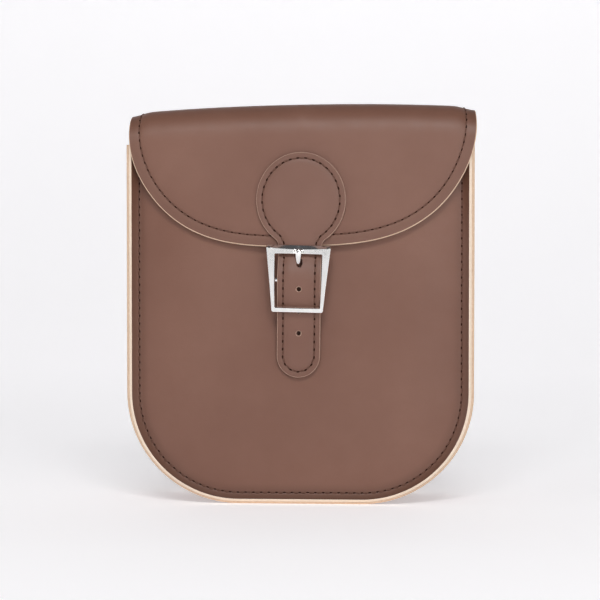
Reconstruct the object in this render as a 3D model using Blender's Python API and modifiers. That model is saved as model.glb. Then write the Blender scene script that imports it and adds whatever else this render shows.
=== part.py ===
"""A small leather satchel: a gusset between two panels, a flap over the top with a sewn keyhole patch, a
strap tail with a centre-bar buckle, and a hidden magnetic snap.

Metres, +Z up. X runs across the front and the front faces -Y. The origin is on the floor, under the middle
of the bounding box. Soft leather is modelled as plain sheets. A sheet that bends in use is split at the
bend, and the two pieces meet there at a hinge.
"""

import math

import bmesh
import bpy
from mathutils import Vector

# Driving dimensions
WIDTH = 0.205
CORNER_RADIUS = 0.066
BODY_Y = 0.0088  # middle of the gusset, behind the middle of the bounding box
SEAM_SPAN = 0.054  # between the two seam planes
LEATHER = 0.0022
GUSSET_LEATHER = 0.0020
GAP = 0.0003
FLANGE = 0.0080  # from the gusset's wall to the raw edge
PANEL_TOP = 0.212
DOME = 0.0061  # how far the front panel bulges

# The fold over the top: a back roll, a flat top and a larger front roll
TOP_Z = 0.235
TOP_HALF_WIDTH = 0.1015
BACK_ROLL = 0.008
FRONT_ROLL = 0.018
BEND_SHARE = math.pi / 4  # a bend's axis lies this many radii outwards and upwards from its centre
SPLIT_GAP = 0.0005  # left open on each side where a bend is split

# The flap: a superellipse below the front roll
FLAP_HALF_WIDTH = 0.1028
FLAP_CENTRE_Z = 0.2265
FLAP_DROP = 0.074
FLAP_POWER_X = 3.0
FLAP_POWER_Z = 1.95
FLAP_LEAN = 0.0026  # how much further forward its lower edge is than its upper one

# Keyhole patch, strap and buckle
PATCH_HALF_WIDTH = 0.0264
PATCH_HALF_HEIGHT = 0.0281
PATCH_TOP = 0.2076
STRAP_WIDTH = 0.0252
STRAP_END_Z = 0.0755
HOLE_DIAMETER = 0.0028
HOLE_PITCH = 0.01295
FIRST_HOLE_Z = 0.1273
HOLE_COUNT = 3
BAR_Z = 0.1325
BAR_RADIUS = 0.0012
BAR_SETBACK = 0.0040  # from the frame's front face to the bar's centre
FRAME_TOP_Z = 0.1524
FRAME_BOTTOM_Z = 0.1136
FRAME_TOP_WIDTH = 0.0379
FRAME_BOTTOM_WIDTH = 0.0303
WINDOW_TOP_WIDTH = 0.0273
WINDOW_BOTTOM_WIDTH = 0.0262
FRAME_TOP_BAR = 0.0048
FRAME_BOTTOM_BAR = 0.0036
FRAME_THICKNESS = 0.0024
FRAME_PLAY = 0.0006  # between the frame and the strap behind it
CHAPE_LEATHER = 0.0010
CHAPE_HALF_WIDTH = 0.0120
CHAPE_FRONT_END_Z = 0.1205
CHAPE_BACK_END_Z = 0.1165
SNAP_Z = 0.1245
SNAP_RADIUS = 0.0060
SNAP_POST_RADIUS = 0.0020

# D-rings and their tabs on the ends of the gusset
RING_WIRE = 0.0013
RING_WIDTH = 0.0240
RING_HEIGHT = 0.0170
RING_ARM = 0.0080  # the straight part of each side
RING_Z = 0.2050
TAB_LEATHER = 0.0014
TAB_HALF_WIDTH = 0.0085
TAB_END_Z = 0.1760
RIVET_Z = 0.1825
RIVET_HEAD_RADIUS = 0.0040
RIVET_POST_RADIUS = 0.0015
CLEARANCE = 0.0003

SEAM_FRONT = BODY_Y - SEAM_SPAN / 2
SEAM_BACK = BODY_Y + SEAM_SPAN / 2
PANEL_FRONT = SEAM_FRONT - GAP / 2 - LEATHER - DOME
BACK_FACE = SEAM_BACK + GAP / 2 + LEATHER
FLAP_TOP_FRONT = PANEL_FRONT - GAP - LEATHER
FLAP_EDGE_Z = FLAP_CENTRE_Z - FLAP_DROP
FLAP_EDGE_FRONT = FLAP_TOP_FRONT - FLAP_LEAN
FLAP_CREASE_Z = TOP_Z - FRONT_ROLL
BACK_ROLL_CENTRE = (BACK_FACE - BACK_ROLL, TOP_Z - BACK_ROLL)
FRONT_ROLL_CENTRE = (FLAP_TOP_FRONT + FRONT_ROLL, FLAP_CREASE_Z)
STRAP_BACK = FLAP_EDGE_FRONT - GAP
STRAP_FRONT = STRAP_BACK - LEATHER
FRAME_FRONT = STRAP_FRONT - FRAME_PLAY - FRAME_THICKNESS
BAR_Y = FRAME_FRONT + BAR_SETBACK
WEB_X = WIDTH / 2 - FLANGE
RING_X = WEB_X + GAP + TAB_LEATHER + RING_WIRE + CLEARANCE

LEATHER_BROWN = (0.21, 0.10, 0.075, 1)
NICKEL = (0.80, 0.79, 0.77, 1)


# Scene helpers


def clear_scene():
    for thing in list(bpy.data.objects):
        bpy.data.objects.remove(thing, do_unlink=True)


def new_collection(name):
    collection = bpy.data.collections.new(name)
    bpy.context.scene.collection.children.link(collection)
    return collection


def make_material(name, colour, roughness, metallic):
    material = bpy.data.materials.new(name)
    material.use_nodes = True
    shader = material.node_tree.nodes["Principled BSDF"]
    shader.inputs["Base Color"].default_value = colour
    shader.inputs["Roughness"].default_value = roughness
    shader.inputs["Metallic"].default_value = metallic
    return material


def leather(name):
    return make_material(name + "_leather", LEATHER_BROWN, 0.55, 0.0)


def metal(name):
    return make_material(name + "_metal", NICKEL, 0.18, 1.0)


def add_object(name, data, collection, material=None):
    thing = bpy.data.objects.new(name, data)
    collection.objects.link(thing)
    if material:
        data.materials.append(material)
    return thing


def mesh_from_rows(name, rows, fill_last=False):
    """An open surface over rows of points. Its normal is along-a-row crossed with row-to-row, reversed."""
    mesh = bpy.data.meshes.new(name)
    bm = bmesh.new()
    grid = [[bm.verts.new(point) for point in row] for row in rows]
    for near, far in zip(grid, grid[1:]):
        for i in range(len(near) - 1):
            bm.faces.new((near[i], far[i], far[i + 1], near[i + 1]))
    if fill_last:
        bm.faces.new(list(reversed(grid[-1])))
    bm.to_mesh(mesh)
    bm.free()
    return mesh


def solidify(thing, thickness):
    """Grow the surface behind its outer face."""
    modifier = thing.modifiers.new("Thickness", "SOLIDIFY")
    modifier.thickness = thickness
    modifier.offset = -1
    modifier.use_even_offset = True


def boolean(thing, other, operation):
    modifier = thing.modifiers.new(operation.title(), "BOOLEAN")
    modifier.operation = operation
    modifier.object = other
    modifier.solver = "EXACT"


def as_guide(thing):
    thing.hide_render = True
    thing.display_type = "WIRE"
    return thing


def curve_to_mesh(thing, collection):
    """The evaluated curve as a mesh object whose caps are welded to its sides."""
    graph = bpy.context.evaluated_depsgraph_get()
    mesh = bpy.data.meshes.new_from_object(thing.evaluated_get(graph))
    bm = bmesh.new()
    bm.from_mesh(mesh)
    bmesh.ops.remove_doubles(bm, verts=bm.verts, dist=0.00001)
    bm.to_mesh(mesh)
    bm.free()
    name, place = thing.name, thing.matrix_world.copy()
    bpy.data.objects.remove(thing, do_unlink=True)
    result = bpy.data.objects.new(name, mesh)
    result.matrix_world = place
    collection.objects.link(result)
    return result


# Shapes


def strip(name, path, thickness, collection, material):
    """A sheet of leather. The path is (y, z, half width) on its outer face: up the back, over, down the front."""
    rows = [[(-half, y, z), (half, y, z)] for y, z, half in path]
    sheet = add_object(name, mesh_from_rows(name, rows), collection, material)
    solidify(sheet, thickness)
    return sheet


def flat_outline(name, loops, thickness, collection, material):
    """A flat plate with holes, extruded evenly about its local XY plane."""
    curve = bpy.data.curves.new(name, "CURVE")
    curve.dimensions = "2D"
    curve.fill_mode = "BOTH"
    curve.extrude = thickness / 2
    for loop in loops:
        spline = curve.splines.new("POLY")
        spline.points.add(len(loop) - 1)
        for point, (x, y) in zip(spline.points, loop):
            point.co = (x, y, 0, 1)
        spline.use_cyclic_u = True
    return add_object(name, curve, collection, material)


def tube(name, points, radius, collection, material=None, closed=False, sides=2):
    curve = bpy.data.curves.new(name, "CURVE")
    curve.dimensions = "3D"
    curve.bevel_depth = radius
    curve.bevel_resolution = sides
    curve.use_fill_caps = not closed
    spline = curve.splines.new("POLY")
    spline.points.add(len(points) - 1)
    for point, place in zip(spline.points, points):
        point.co = (*place, 1)
    spline.use_cyclic_u = closed
    return add_object(name, curve, collection, material)


def turned(name, profile, collection, material=None, steps=28):
    """A solid of revolution about local Z. The profile (radius, z) runs down its outer side."""
    mesh = bpy.data.meshes.new(name)
    points = [(radius, 0, z) for radius, z in profile]
    mesh.from_pydata(points, [(i, i + 1) for i in range(len(points) - 1)], [])
    thing = add_object(name, mesh, collection, material)
    screw = thing.modifiers.new("Turn", "SCREW")
    screw.axis = "Z"
    screw.steps = steps
    screw.render_steps = steps
    screw.use_merge_vertices = True
    screw.merge_threshold = 0.00001
    return thing


def cylinder(name, radius, length, location, axis, collection):
    """A cutter or a joining bar along X, Y or Z."""
    mesh = bpy.data.meshes.new(name)
    bm = bmesh.new()
    bmesh.ops.create_cone(
        bm, cap_ends=True, segments=24, radius1=radius, radius2=radius, depth=length
    )
    bm.to_mesh(mesh)
    bm.free()
    rod = add_object(name, mesh, collection)
    turns = {"X": (0, math.pi / 2, 0), "Y": (math.pi / 2, 0, 0), "Z": (0, 0, 0)}
    rod.location = location
    rod.rotation_euler = turns[axis]
    return as_guide(rod)


def arc(centre, radius, start, end, steps):
    """Points (y, z) on an arc. Angle 0 is towards -Y and a quarter turn is straight up."""
    places = []
    for i in range(steps + 1):
        angle = start + (end - start) * i / steps
        y = centre[0] - radius * math.cos(angle)
        places.append((y, centre[1] + radius * math.sin(angle)))
    return places


def smooth_path(knots, steps):
    """A Catmull-Rom curve through (y, z) knots."""
    padded = [knots[0], *knots, knots[-1]]
    places = []
    for a, b, c, d in zip(padded, padded[1:], padded[2:], padded[3:]):
        for i in range(steps):
            t = i / steps
            places.append(
                tuple(
                    b[k]
                    + 0.5 * t * (c[k] - a[k])
                    + t * t * (a[k] - 2.5 * b[k] + 2 * c[k] - 0.5 * d[k])
                    + t**3 * (1.5 * (b[k] - c[k]) + 0.5 * (d[k] - a[k]))
                    for k in (0, 1)
                )
            )
    return places + [knots[-1]]


def body_half_width(z):
    """Half the body's width at a height: straight sides over round corners."""
    if z >= CORNER_RADIUS:
        return WIDTH / 2
    depth = CORNER_RADIUS - z
    return WIDTH / 2 - CORNER_RADIUS + math.sqrt(CORNER_RADIUS**2 - depth**2)


def body_outline(inset, top):
    """The body's edge moved in by inset, as (x, z): down the left side, along the bottom, up the right."""
    radius = CORNER_RADIUS - inset
    centre_x = WIDTH / 2 - CORNER_RADIUS
    steps = 8
    left = [(-centre_x - radius, top)]
    for i in range(steps + 1):
        angle = math.pi / 2 * i / steps
        left.append(
            (-centre_x - radius * math.cos(angle), CORNER_RADIUS - radius * math.sin(angle))
        )
    return left + [(-x, z) for x, z in reversed(left)]


# Leather body


def make_front_panel(parts, guides):
    """The panel is flat along its seam and bulges forward inside it."""
    seam_y = SEAM_FRONT - GAP / 2 - LEATHER
    rings = ((0, 0), (FLANGE, 0), (0.014, 0.40), (0.024, 0.78), (0.038, 0.96), (0.052, 1))
    rows = []
    for inset, share in rings:
        y = seam_y - DOME * share
        rows.append([(x, y, z) for x, z in reversed(body_outline(inset, PANEL_TOP))])
    name = "front_panel"
    panel = add_object(name, mesh_from_rows(name, rows, True), parts, leather(name))
    solidify(panel, LEATHER)
    hole = cylinder(
        "snap_hole", SNAP_POST_RADIUS + CLEARANCE, 0.02, (0, PANEL_FRONT, SNAP_Z), "Y", guides
    )
    boolean(panel, hole, "DIFFERENCE")


def make_back_panel(parts):
    """The back rises past the seams and starts the roll over the top."""
    heights = [CORNER_RADIUS * (1 - math.cos(math.pi / 2 * i / 10)) for i in range(11)]
    path = [(BACK_FACE, z, body_half_width(z)) for z in heights]
    path.append((BACK_FACE, PANEL_TOP, WIDTH / 2))
    split = math.pi * 0.75 + SPLIT_GAP / BACK_ROLL
    roll = arc(BACK_ROLL_CENTRE, BACK_ROLL, math.pi, split, 5)
    path += [(y, z, TOP_HALF_WIDTH) for y, z in roll]
    strip("back_panel", path, LEATHER, parts, leather("back_panel"))


def make_gusset(parts, guides):
    """One strip round the sides and bottom, with its edges turned out against the panels."""
    front = SEAM_FRONT + GAP / 2
    back = SEAM_BACK - GAP / 2
    inner = FLANGE + GUSSET_LEATHER
    profile = ((0, front), (inner, front), (inner, back), (0, back))
    rows = []
    for inset, y in profile:
        rows.append([(x, y, z) for x, z in reversed(body_outline(inset, PANEL_TOP))])
    gusset = add_object("gusset", mesh_from_rows("gusset", rows), parts, leather("gusset"))
    solidify(gusset, GUSSET_LEATHER)
    hole = cylinder(
        "rivet_holes",
        RIVET_POST_RADIUS + CLEARANCE,
        WIDTH * 1.2,
        (0, BODY_Y, RIVET_Z),
        "X",
        guides,
    )
    boolean(gusset, hole, "DIFFERENCE")


def make_flap(parts):
    """The leather over the top and the flap down the front, split in the middle of the front roll."""
    split = math.pi * 0.75 - SPLIT_GAP / BACK_ROLL
    top = arc(BACK_ROLL_CENTRE, BACK_ROLL, split, math.pi / 2, 5)
    split = math.pi / 4 + SPLIT_GAP / FRONT_ROLL
    top += arc(FRONT_ROLL_CENTRE, FRONT_ROLL, math.pi / 2, split, 6)
    path = [(y, z, TOP_HALF_WIDTH) for y, z in top]
    strip("flap_top", path, LEATHER, parts, leather("flap_top"))

    split = math.pi / 4 - SPLIT_GAP / FRONT_ROLL
    roll = arc(FRONT_ROLL_CENTRE, FRONT_ROLL, split, 0, 6)
    path = [(y, z, TOP_HALF_WIDTH) for y, z in roll]
    rows = 14
    flat_edge = 0.012  # closes the outline with a short straight lower edge
    first_reach = (FLAP_CENTRE_Z - FLAP_CREASE_Z) / FLAP_DROP
    for i in range(1, rows + 1):
        reach = first_reach + (1 - first_reach) * math.sin(math.pi / 2 * i / rows)
        z = FLAP_CENTRE_Z - FLAP_DROP * reach
        share = max(flat_edge, 1 - reach**FLAP_POWER_Z)
        half = FLAP_HALF_WIDTH * share ** (1 / FLAP_POWER_X)
        lean = FLAP_LEAN * (FLAP_CREASE_Z - z) / (FLAP_CREASE_Z - FLAP_EDGE_Z)
        path.append((FLAP_TOP_FRONT - lean, z, half))
    strip("flap_front", path, LEATHER, parts, leather("flap_front"))


# Keyhole patch, strap and chape


def strap_knots():
    """(y, z) on the back face of the strap, from the flap's edge over the centre bar to the tip."""
    over_bar = BAR_Y - BAR_RADIUS - 0.0002 - CHAPE_LEATHER - GAP
    panel_rest = PANEL_FRONT - 0.0016
    return (
        (STRAP_BACK, FLAP_EDGE_Z - 0.0005),
        (STRAP_BACK, 0.1465),
        (over_bar + 0.0009, 0.1395),
        (over_bar, BAR_Z),
        (over_bar + 0.0016, 0.1240),
        (STRAP_BACK, 0.1180),
        (STRAP_BACK + 0.0008, 0.1130),
        (panel_rest, 0.0960),
        (panel_rest + 0.0006, STRAP_END_Z),
    )


def prong_path():
    """(y, z) along the prong, from behind the strap, through it, to the notch in the frame's top bar."""
    rest = FRAME_FRONT - 0.0004
    return (
        (BAR_Y + 0.0002, BAR_Z + BAR_RADIUS + 0.0009),
        (BAR_Y + 0.0002, 0.1368),
        (BAR_Y - 0.0008, 0.1395),
        (BAR_Y - 0.0032, 0.1430),
        (rest + 0.0003, 0.1460),
        (rest, 0.1483),
        (rest, 0.1508),
    )


def make_patch(parts):
    """The keyhole patch lies on the flap, which leans forward."""
    centre_z = PATCH_TOP - PATCH_HALF_HEIGHT
    half_strap = STRAP_WIDTH / 2
    foot = math.sqrt(1 - (half_strap / PATCH_HALF_WIDTH) ** 2) * PATCH_HALF_HEIGHT
    start = -math.atan2(foot / PATCH_HALF_HEIGHT, half_strap / PATCH_HALF_WIDTH)
    steps = 36
    outline = [(-half_strap, FLAP_EDGE_Z), (half_strap, FLAP_EDGE_Z)]
    for i in range(steps + 1):
        angle = start + (math.pi - 2 * start) * i / steps
        z = centre_z + PATCH_HALF_HEIGHT * math.sin(angle)
        outline.append((PATCH_HALF_WIDTH * math.cos(angle), z))
    outline = [(x, z - FLAP_EDGE_Z) for x, z in outline]
    name = "closure_patch"
    patch = flat_outline(name, [outline], LEATHER, parts, leather(name))
    tilt = math.atan2(FLAP_LEAN, FLAP_CREASE_Z - FLAP_EDGE_Z)
    patch.rotation_euler = (math.pi / 2 - tilt, 0, 0)
    patch.location = (0, STRAP_BACK - LEATHER / 2, FLAP_EDGE_Z)


def make_strap_tail(parts, guides):
    half = STRAP_WIDTH / 2
    path = []
    for y, z in outer_face(smooth_path(strap_knots(), 4), LEATHER):
        above_tip = z - STRAP_END_Z
        if above_tip < half:
            above_tip = max(above_tip, 0.0002)
            width = math.sqrt(half**2 - (half - above_tip) ** 2)
        else:
            width = half
        path.append((y, z, width))
    name = "strap_tail"
    tail = strip(name, path, LEATHER, parts, leather(name))
    slot = tube(
        "prong_slot",
        [(0, y, z) for y, z in smooth_path(prong_path(), 3)],
        0.0020,
        guides,
    )
    slot = as_guide(curve_to_mesh(slot, guides))
    boolean(tail, slot, "DIFFERENCE")
    for i in range(HOLE_COUNT):
        z = FIRST_HOLE_Z - i * HOLE_PITCH
        hole = cylinder(
            f"strap_hole_{i + 1}", HOLE_DIAMETER / 2, 0.03, (0, STRAP_FRONT, z), "Y", guides
        )
        boolean(tail, hole, "DIFFERENCE")


def outer_face(back, thickness):
    """The path moved forward by a sheet's thickness, square to itself. Paths run downwards."""
    places = []
    for i, (y, z) in enumerate(back):
        before = Vector(back[max(i - 1, 0)])
        after = Vector(back[min(i + 1, len(back) - 1)])
        along = (after - before).normalized()
        places.append((y + along.y * thickness, z - along.x * thickness))
    return places


def make_chape(parts, guides):
    """A short strap folded round the buckle's bar, with a slot for the prong."""
    inner = BAR_RADIUS + 0.0002
    outer = inner + CHAPE_LEATHER
    back_leg = BAR_Y + outer + 0.0004
    front_leg = back_leg - 2 * CHAPE_LEATHER - GAP
    path = [(back_leg, CHAPE_BACK_END_Z), (back_leg, SNAP_Z + 0.003)]
    path += arc((BAR_Y, BAR_Z), outer, math.pi, -0.6, 14)
    path += [
        (front_leg - 0.0009, SNAP_Z + 0.0035),
        (front_leg, SNAP_Z + 0.0010),
        (front_leg, CHAPE_FRONT_END_Z),
    ]
    path = [(y, z, CHAPE_HALF_WIDTH) for y, z in path]
    chape = strip("chape", path, CHAPE_LEATHER, parts, leather("chape"))
    post = cylinder(
        "post_hole", SNAP_POST_RADIUS + CLEARANCE, 0.02, (0, BAR_Y, SNAP_Z), "Y", guides
    )
    boolean(chape, post, "DIFFERENCE")
    mesh = bpy.data.meshes.new("prong_gap")
    bm = bmesh.new()
    bmesh.ops.create_cube(bm, size=1)
    bmesh.ops.scale(bm, vec=(0.0052, 0.009, 0.0074), verts=bm.verts)
    bm.to_mesh(mesh)
    bm.free()
    gap = as_guide(add_object("prong_gap", mesh, guides))
    gap.location = (0, BAR_Y, BAR_Z + 0.0006)
    boolean(chape, gap, "DIFFERENCE")
    return back_leg, front_leg


# Hardware


def make_snap(parts, back_leg, front_leg):
    """The fixed half is riveted through the front panel, and the moving half through the chape."""
    face = PANEL_FRONT - GAP
    base_depth = 0.0014
    washer_depth = 0.0008
    through = face + GAP + LEATHER + GAP + washer_depth
    radius, post = SNAP_RADIUS + 0.0005, SNAP_POST_RADIUS
    front = face - base_depth
    profile = (
        (0, 0),
        (radius - 0.0004, 0),
        (radius, -0.0004),
        (radius, -base_depth),
        (post, -base_depth),
        (post, front - through),
        (0, front - through),
    )
    base = turned("snap_base", profile, parts, metal("snap_base"))
    place_facing_front(base, (0, front, SNAP_Z))

    inside = PANEL_FRONT + LEATHER + GAP
    ring = (
        (post + CLEARANCE, 0),
        (SNAP_RADIUS, 0),
        (SNAP_RADIUS, -washer_depth),
        (post + CLEARANCE, -washer_depth),
        (post + CLEARANCE, 0),
    )
    washer = turned("snap_base_washer", ring, parts, metal("snap_base_washer"))
    place_facing_front(washer, (0, inside, SNAP_Z))

    stud_back = front - GAP
    stud_front = back_leg + GAP
    depth = stud_back - stud_front
    end = front_leg
    profile = (
        (0, stud_front - end),
        (post, stud_front - end),
        (post, 0),
        (SNAP_RADIUS, 0),
        (SNAP_RADIUS, -depth + 0.0004),
        (SNAP_RADIUS - 0.0004, -depth),
        (0, -depth),
    )
    stud = turned("snap_stud", profile, parts, metal("snap_stud"))
    place_facing_front(stud, (0, stud_front, SNAP_Z))


def place_facing_front(thing, location):
    """Turn local +Z to face -Y."""
    thing.rotation_euler = (math.pi / 2, 0, 0)
    thing.location = location


def rounded_trapezoid(top, bottom, low, high, radius):
    """(x, z) round a symmetric trapezoid with rounded corners, anticlockwise from the lower right."""
    corners = ((bottom / 2, low), (top / 2, high), (-top / 2, high), (-bottom / 2, low))
    centres = []
    for i, (x, z) in enumerate(corners):
        side = math.copysign(1, x)
        rise = 1 if i in (0, 3) else -1
        centres.append((x - side * radius, z + rise * radius))
    starts = (-math.pi / 2, 0, math.pi / 2, math.pi)
    loop = []
    for (x, z), start in zip(centres, starts):
        for i in range(4):
            angle = start + math.pi / 2 * i / 3
            loop.append((x + radius * math.cos(angle), z + radius * math.sin(angle)))
    return loop


def make_buckle_frame(parts, guides):
    """A flat cast frame whose centre bar is set back on two lugs."""
    outer = rounded_trapezoid(
        FRAME_TOP_WIDTH, FRAME_BOTTOM_WIDTH, FRAME_BOTTOM_Z - BAR_Z, FRAME_TOP_Z - BAR_Z, 0.0012
    )
    window = rounded_trapezoid(
        WINDOW_TOP_WIDTH,
        WINDOW_BOTTOM_WIDTH,
        FRAME_BOTTOM_Z + FRAME_BOTTOM_BAR - BAR_Z,
        FRAME_TOP_Z - FRAME_TOP_BAR - BAR_Z,
        0.0008,
    )
    plate = flat_outline("buckle_frame", [outer, window], FRAME_THICKNESS, guides, None)
    place_facing_front(plate, (0, FRAME_FRONT + FRAME_THICKNESS / 2, BAR_Z))
    bpy.context.view_layer.update()
    frame = curve_to_mesh(plate, parts)
    frame.data.materials.append(metal("buckle_frame"))
    bevel = frame.modifiers.new("Edges", "BEVEL")
    bevel.width = 0.0004
    bevel.segments = 2
    bar_length = FRAME_BOTTOM_WIDTH + 0.0028
    bar = cylinder("centre_bar", BAR_RADIUS, bar_length, (0, BAR_Y, BAR_Z), "X", guides)
    boolean(frame, bar, "UNION")
    lug_depth = BAR_SETBACK + BAR_RADIUS - FRAME_THICKNESS / 2
    lug_y = FRAME_FRONT + FRAME_THICKNESS / 2 + lug_depth / 2
    for name, side in (("left_lug", -1), ("right_lug", 1)):
        x = side * (bar_length / 2 - 0.0008)
        lug = cylinder(name, 0.0011, lug_depth, (x, lug_y, BAR_Z), "Y", guides)
        boolean(frame, lug, "UNION")
    notch_z = FRAME_TOP_Z - FRAME_TOP_BAR / 2
    notch = cylinder(
        "prong_notch", 0.0050, 0.02, (0, FRAME_FRONT - 0.0041, notch_z), "Z", guides
    )
    boolean(frame, notch, "DIFFERENCE")


def make_prong(parts, guides):
    """A flat eye round the bar, and a round shank that comes forward through the strap."""
    inner = BAR_RADIUS + 0.0002
    outer = BAR_RADIUS + 0.0011
    half = 0.0018
    ring = ((inner, half), (outer, half), (outer, -half), (inner, -half), (inner, half))
    eye = turned("buckle_prong", ring, parts, metal("buckle_prong"), steps=24)
    eye.rotation_euler = (0, math.pi / 2, 0)
    eye.location = (0, BAR_Y, BAR_Z)
    route = smooth_path(prong_path(), 3)
    shank = tube("shank", [(0, y, z) for y, z in route], 0.0010, guides)
    shank = as_guide(curve_to_mesh(shank, guides))
    boolean(eye, shank, "UNION")


def make_d_ring_set(side, parts, guides):
    """A ring, its folded tab and the rivet through the tab, on the gusset's outer face."""
    word = "left" if side < 0 else "right"
    turn = side * math.pi / 2
    bend = RING_WIRE + 0.0002

    wall = -GAP
    inner_leg = wall - TAB_LEATHER
    front_leg = inner_leg - GAP - TAB_LEATHER
    path = [(wall, TAB_END_Z), (wall, RING_Z - 0.008)]
    axis = (-(RING_X - WEB_X), RING_Z)
    path += arc(axis, bend + TAB_LEATHER, math.pi, 0, 12)
    path += [(front_leg - 0.0004, RING_Z - 0.006), (front_leg, RING_Z - 0.008)]
    path += [(front_leg, TAB_END_Z)]
    name = f"d_ring_tab_{word}"
    strips = [(y, z, TAB_HALF_WIDTH) for y, z in path]
    tab = strip(name, strips, TAB_LEATHER, parts, leather(name))
    tab.location = (side * WEB_X, BODY_Y, 0)
    tab.rotation_euler = (0, 0, turn)
    hole = bpy.data.objects["rivet_holes"]
    boolean(tab, hole, "DIFFERENCE")

    head, post, thick = RIVET_HEAD_RADIUS, RIVET_POST_RADIUS, 0.0009
    reach = -front_leg + GAP
    depth = reach + GUSSET_LEATHER + GAP
    profile = (
        (0, reach + thick),
        (head * 0.6, reach + thick),
        (head, reach + thick * 0.4),
        (head, reach),
        (post, reach),
        (post, reach - depth),
        (head, reach - depth),
        (head, reach - depth - thick * 0.6),
        (head * 0.6, reach - depth - thick),
        (0, reach - depth - thick),
    )
    name = f"tab_rivet_{word}"
    rivet = turned(name, profile, parts, metal(name), steps=20)
    rivet.rotation_euler = (0, side * math.pi / 2, 0)
    rivet.location = (side * WEB_X, BODY_Y, RIVET_Z)

    name = f"d_ring_{word}"
    ring = tube(name, ring_outline(), RING_WIRE, parts, metal(name), closed=True)
    ring.location = (side * RING_X, BODY_Y, RING_Z)
    stand_off = -front_leg + GAP + RING_WIRE - (RING_X - WEB_X)
    lean = math.asin(stand_off / (RING_ARM + 0.0015))
    ring.rotation_euler = (0, -side * lean, 0)


def ring_outline():
    """A D hanging from its straight bar, in the local YZ plane. The bar is on the local Y axis."""
    half = RING_WIDTH / 2 - RING_WIRE
    drop = RING_HEIGHT - 2 * RING_WIRE
    corner = 0.0015
    points = [(0, -half + corner, 0), (0, half - corner, 0), (0, half, -corner)]
    steps = 16
    for i in range(steps + 1):
        angle = math.pi * i / steps
        z = -RING_ARM - (drop - RING_ARM) * math.sin(angle)
        points.append((0, half * math.cos(angle), z))
    points.append((0, -half, -corner))
    return points


# Pivots


def bend_axis(centre, radius, side):
    """(y, z) of the line that a quarter bend turns about, which keeps the leather's length as it opens."""
    return centre[0] + side * radius * BEND_SHARE, centre[1] + radius * BEND_SHARE


def make_pivots(parts):
    """An empty on each hinge's axis, which carries the pieces that turn about it and the next pivot."""
    pivots = (
        ("flap_back_hinge", bend_axis(BACK_ROLL_CENTRE, BACK_ROLL, 1), ("flap_top",)),
        (
            "flap_front_hinge",
            bend_axis(FRONT_ROLL_CENTRE, FRONT_ROLL, -1),
            ("flap_front", "closure_patch"),
        ),
        (
            "closure_hinge",
            (STRAP_FRONT, FLAP_EDGE_Z),
            ("strap_tail", "chape", "snap_stud"),
        ),
        ("buckle_frame_pivot", (BAR_Y, BAR_Z), ("buckle_frame", "buckle_prong")),
    )
    above = None
    for name, (y, z), members in pivots:
        pivot = add_object(name, None, parts)
        pivot.location = (0, y, z)
        bpy.context.view_layer.update()
        carry(above, pivot)
        for member in members:
            carry(pivot, bpy.data.objects[member])
        above = pivot


def carry(parent, child):
    """Parent an object without moving it."""
    if parent:
        child.parent = parent
        child.matrix_parent_inverse = parent.matrix_world.inverted()
        bpy.context.view_layer.update()


def build():
    clear_scene()
    parts = new_collection("leather_satchel")
    guides = new_collection("guides")
    make_front_panel(parts, guides)
    make_back_panel(parts)
    make_gusset(parts, guides)
    make_flap(parts)
    make_patch(parts)
    make_strap_tail(parts, guides)
    back_leg, front_leg = make_chape(parts, guides)
    make_snap(parts, back_leg, front_leg)
    make_buckle_frame(parts, guides)
    make_prong(parts, guides)
    for side in (-1, 1):
        make_d_ring_set(side, parts, guides)
    make_pivots(parts)


build()
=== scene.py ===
"""The looks of a small leather satchel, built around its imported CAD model.

Metres, in the CAD frame: X across, the front faces -Y, Z up from the floor. Each leather piece is a sheet
cut on a flat pattern, then folded, domed and flared in code. A pattern's own coordinates are x across and
s along the leather, which is 0 in the middle of the top and grows down the front.
"""

import math

import bmesh
import bpy
import numpy as np
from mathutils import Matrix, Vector


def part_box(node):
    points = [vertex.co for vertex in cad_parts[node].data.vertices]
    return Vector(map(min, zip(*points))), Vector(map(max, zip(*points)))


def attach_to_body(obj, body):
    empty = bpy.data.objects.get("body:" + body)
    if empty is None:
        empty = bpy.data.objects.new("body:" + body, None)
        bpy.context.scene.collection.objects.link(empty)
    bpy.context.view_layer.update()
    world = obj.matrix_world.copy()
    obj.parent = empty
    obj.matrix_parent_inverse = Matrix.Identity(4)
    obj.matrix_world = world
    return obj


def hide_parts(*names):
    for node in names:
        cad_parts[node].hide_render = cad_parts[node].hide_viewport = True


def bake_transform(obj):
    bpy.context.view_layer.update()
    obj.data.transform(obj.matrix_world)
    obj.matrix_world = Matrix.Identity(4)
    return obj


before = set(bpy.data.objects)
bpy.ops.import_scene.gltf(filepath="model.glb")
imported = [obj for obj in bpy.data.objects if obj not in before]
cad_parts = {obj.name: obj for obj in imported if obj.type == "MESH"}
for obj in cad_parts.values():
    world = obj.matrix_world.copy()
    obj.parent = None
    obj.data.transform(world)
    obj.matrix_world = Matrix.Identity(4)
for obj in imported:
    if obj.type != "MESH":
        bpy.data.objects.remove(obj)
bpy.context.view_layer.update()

MM = 0.001

# Sizes that the frame gives
PANEL_LOW, PANEL_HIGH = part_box("front_panel")
STRAP_LOW, STRAP_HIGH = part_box("strap_tail")
FRAME_LOW, FRAME_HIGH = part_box("buckle_frame")
GUSSET_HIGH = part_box("gusset")[1]
PATCH_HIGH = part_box("closure_patch")[1]
HALF = PANEL_HIGH.x
MOUTH_Z = PANEL_HIGH.z
TOP_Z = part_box("flap_top")[1].z
BACK_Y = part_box("back_panel")[1].y
FLAP_BOTTOM_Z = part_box("flap_front")[0].z

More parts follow.
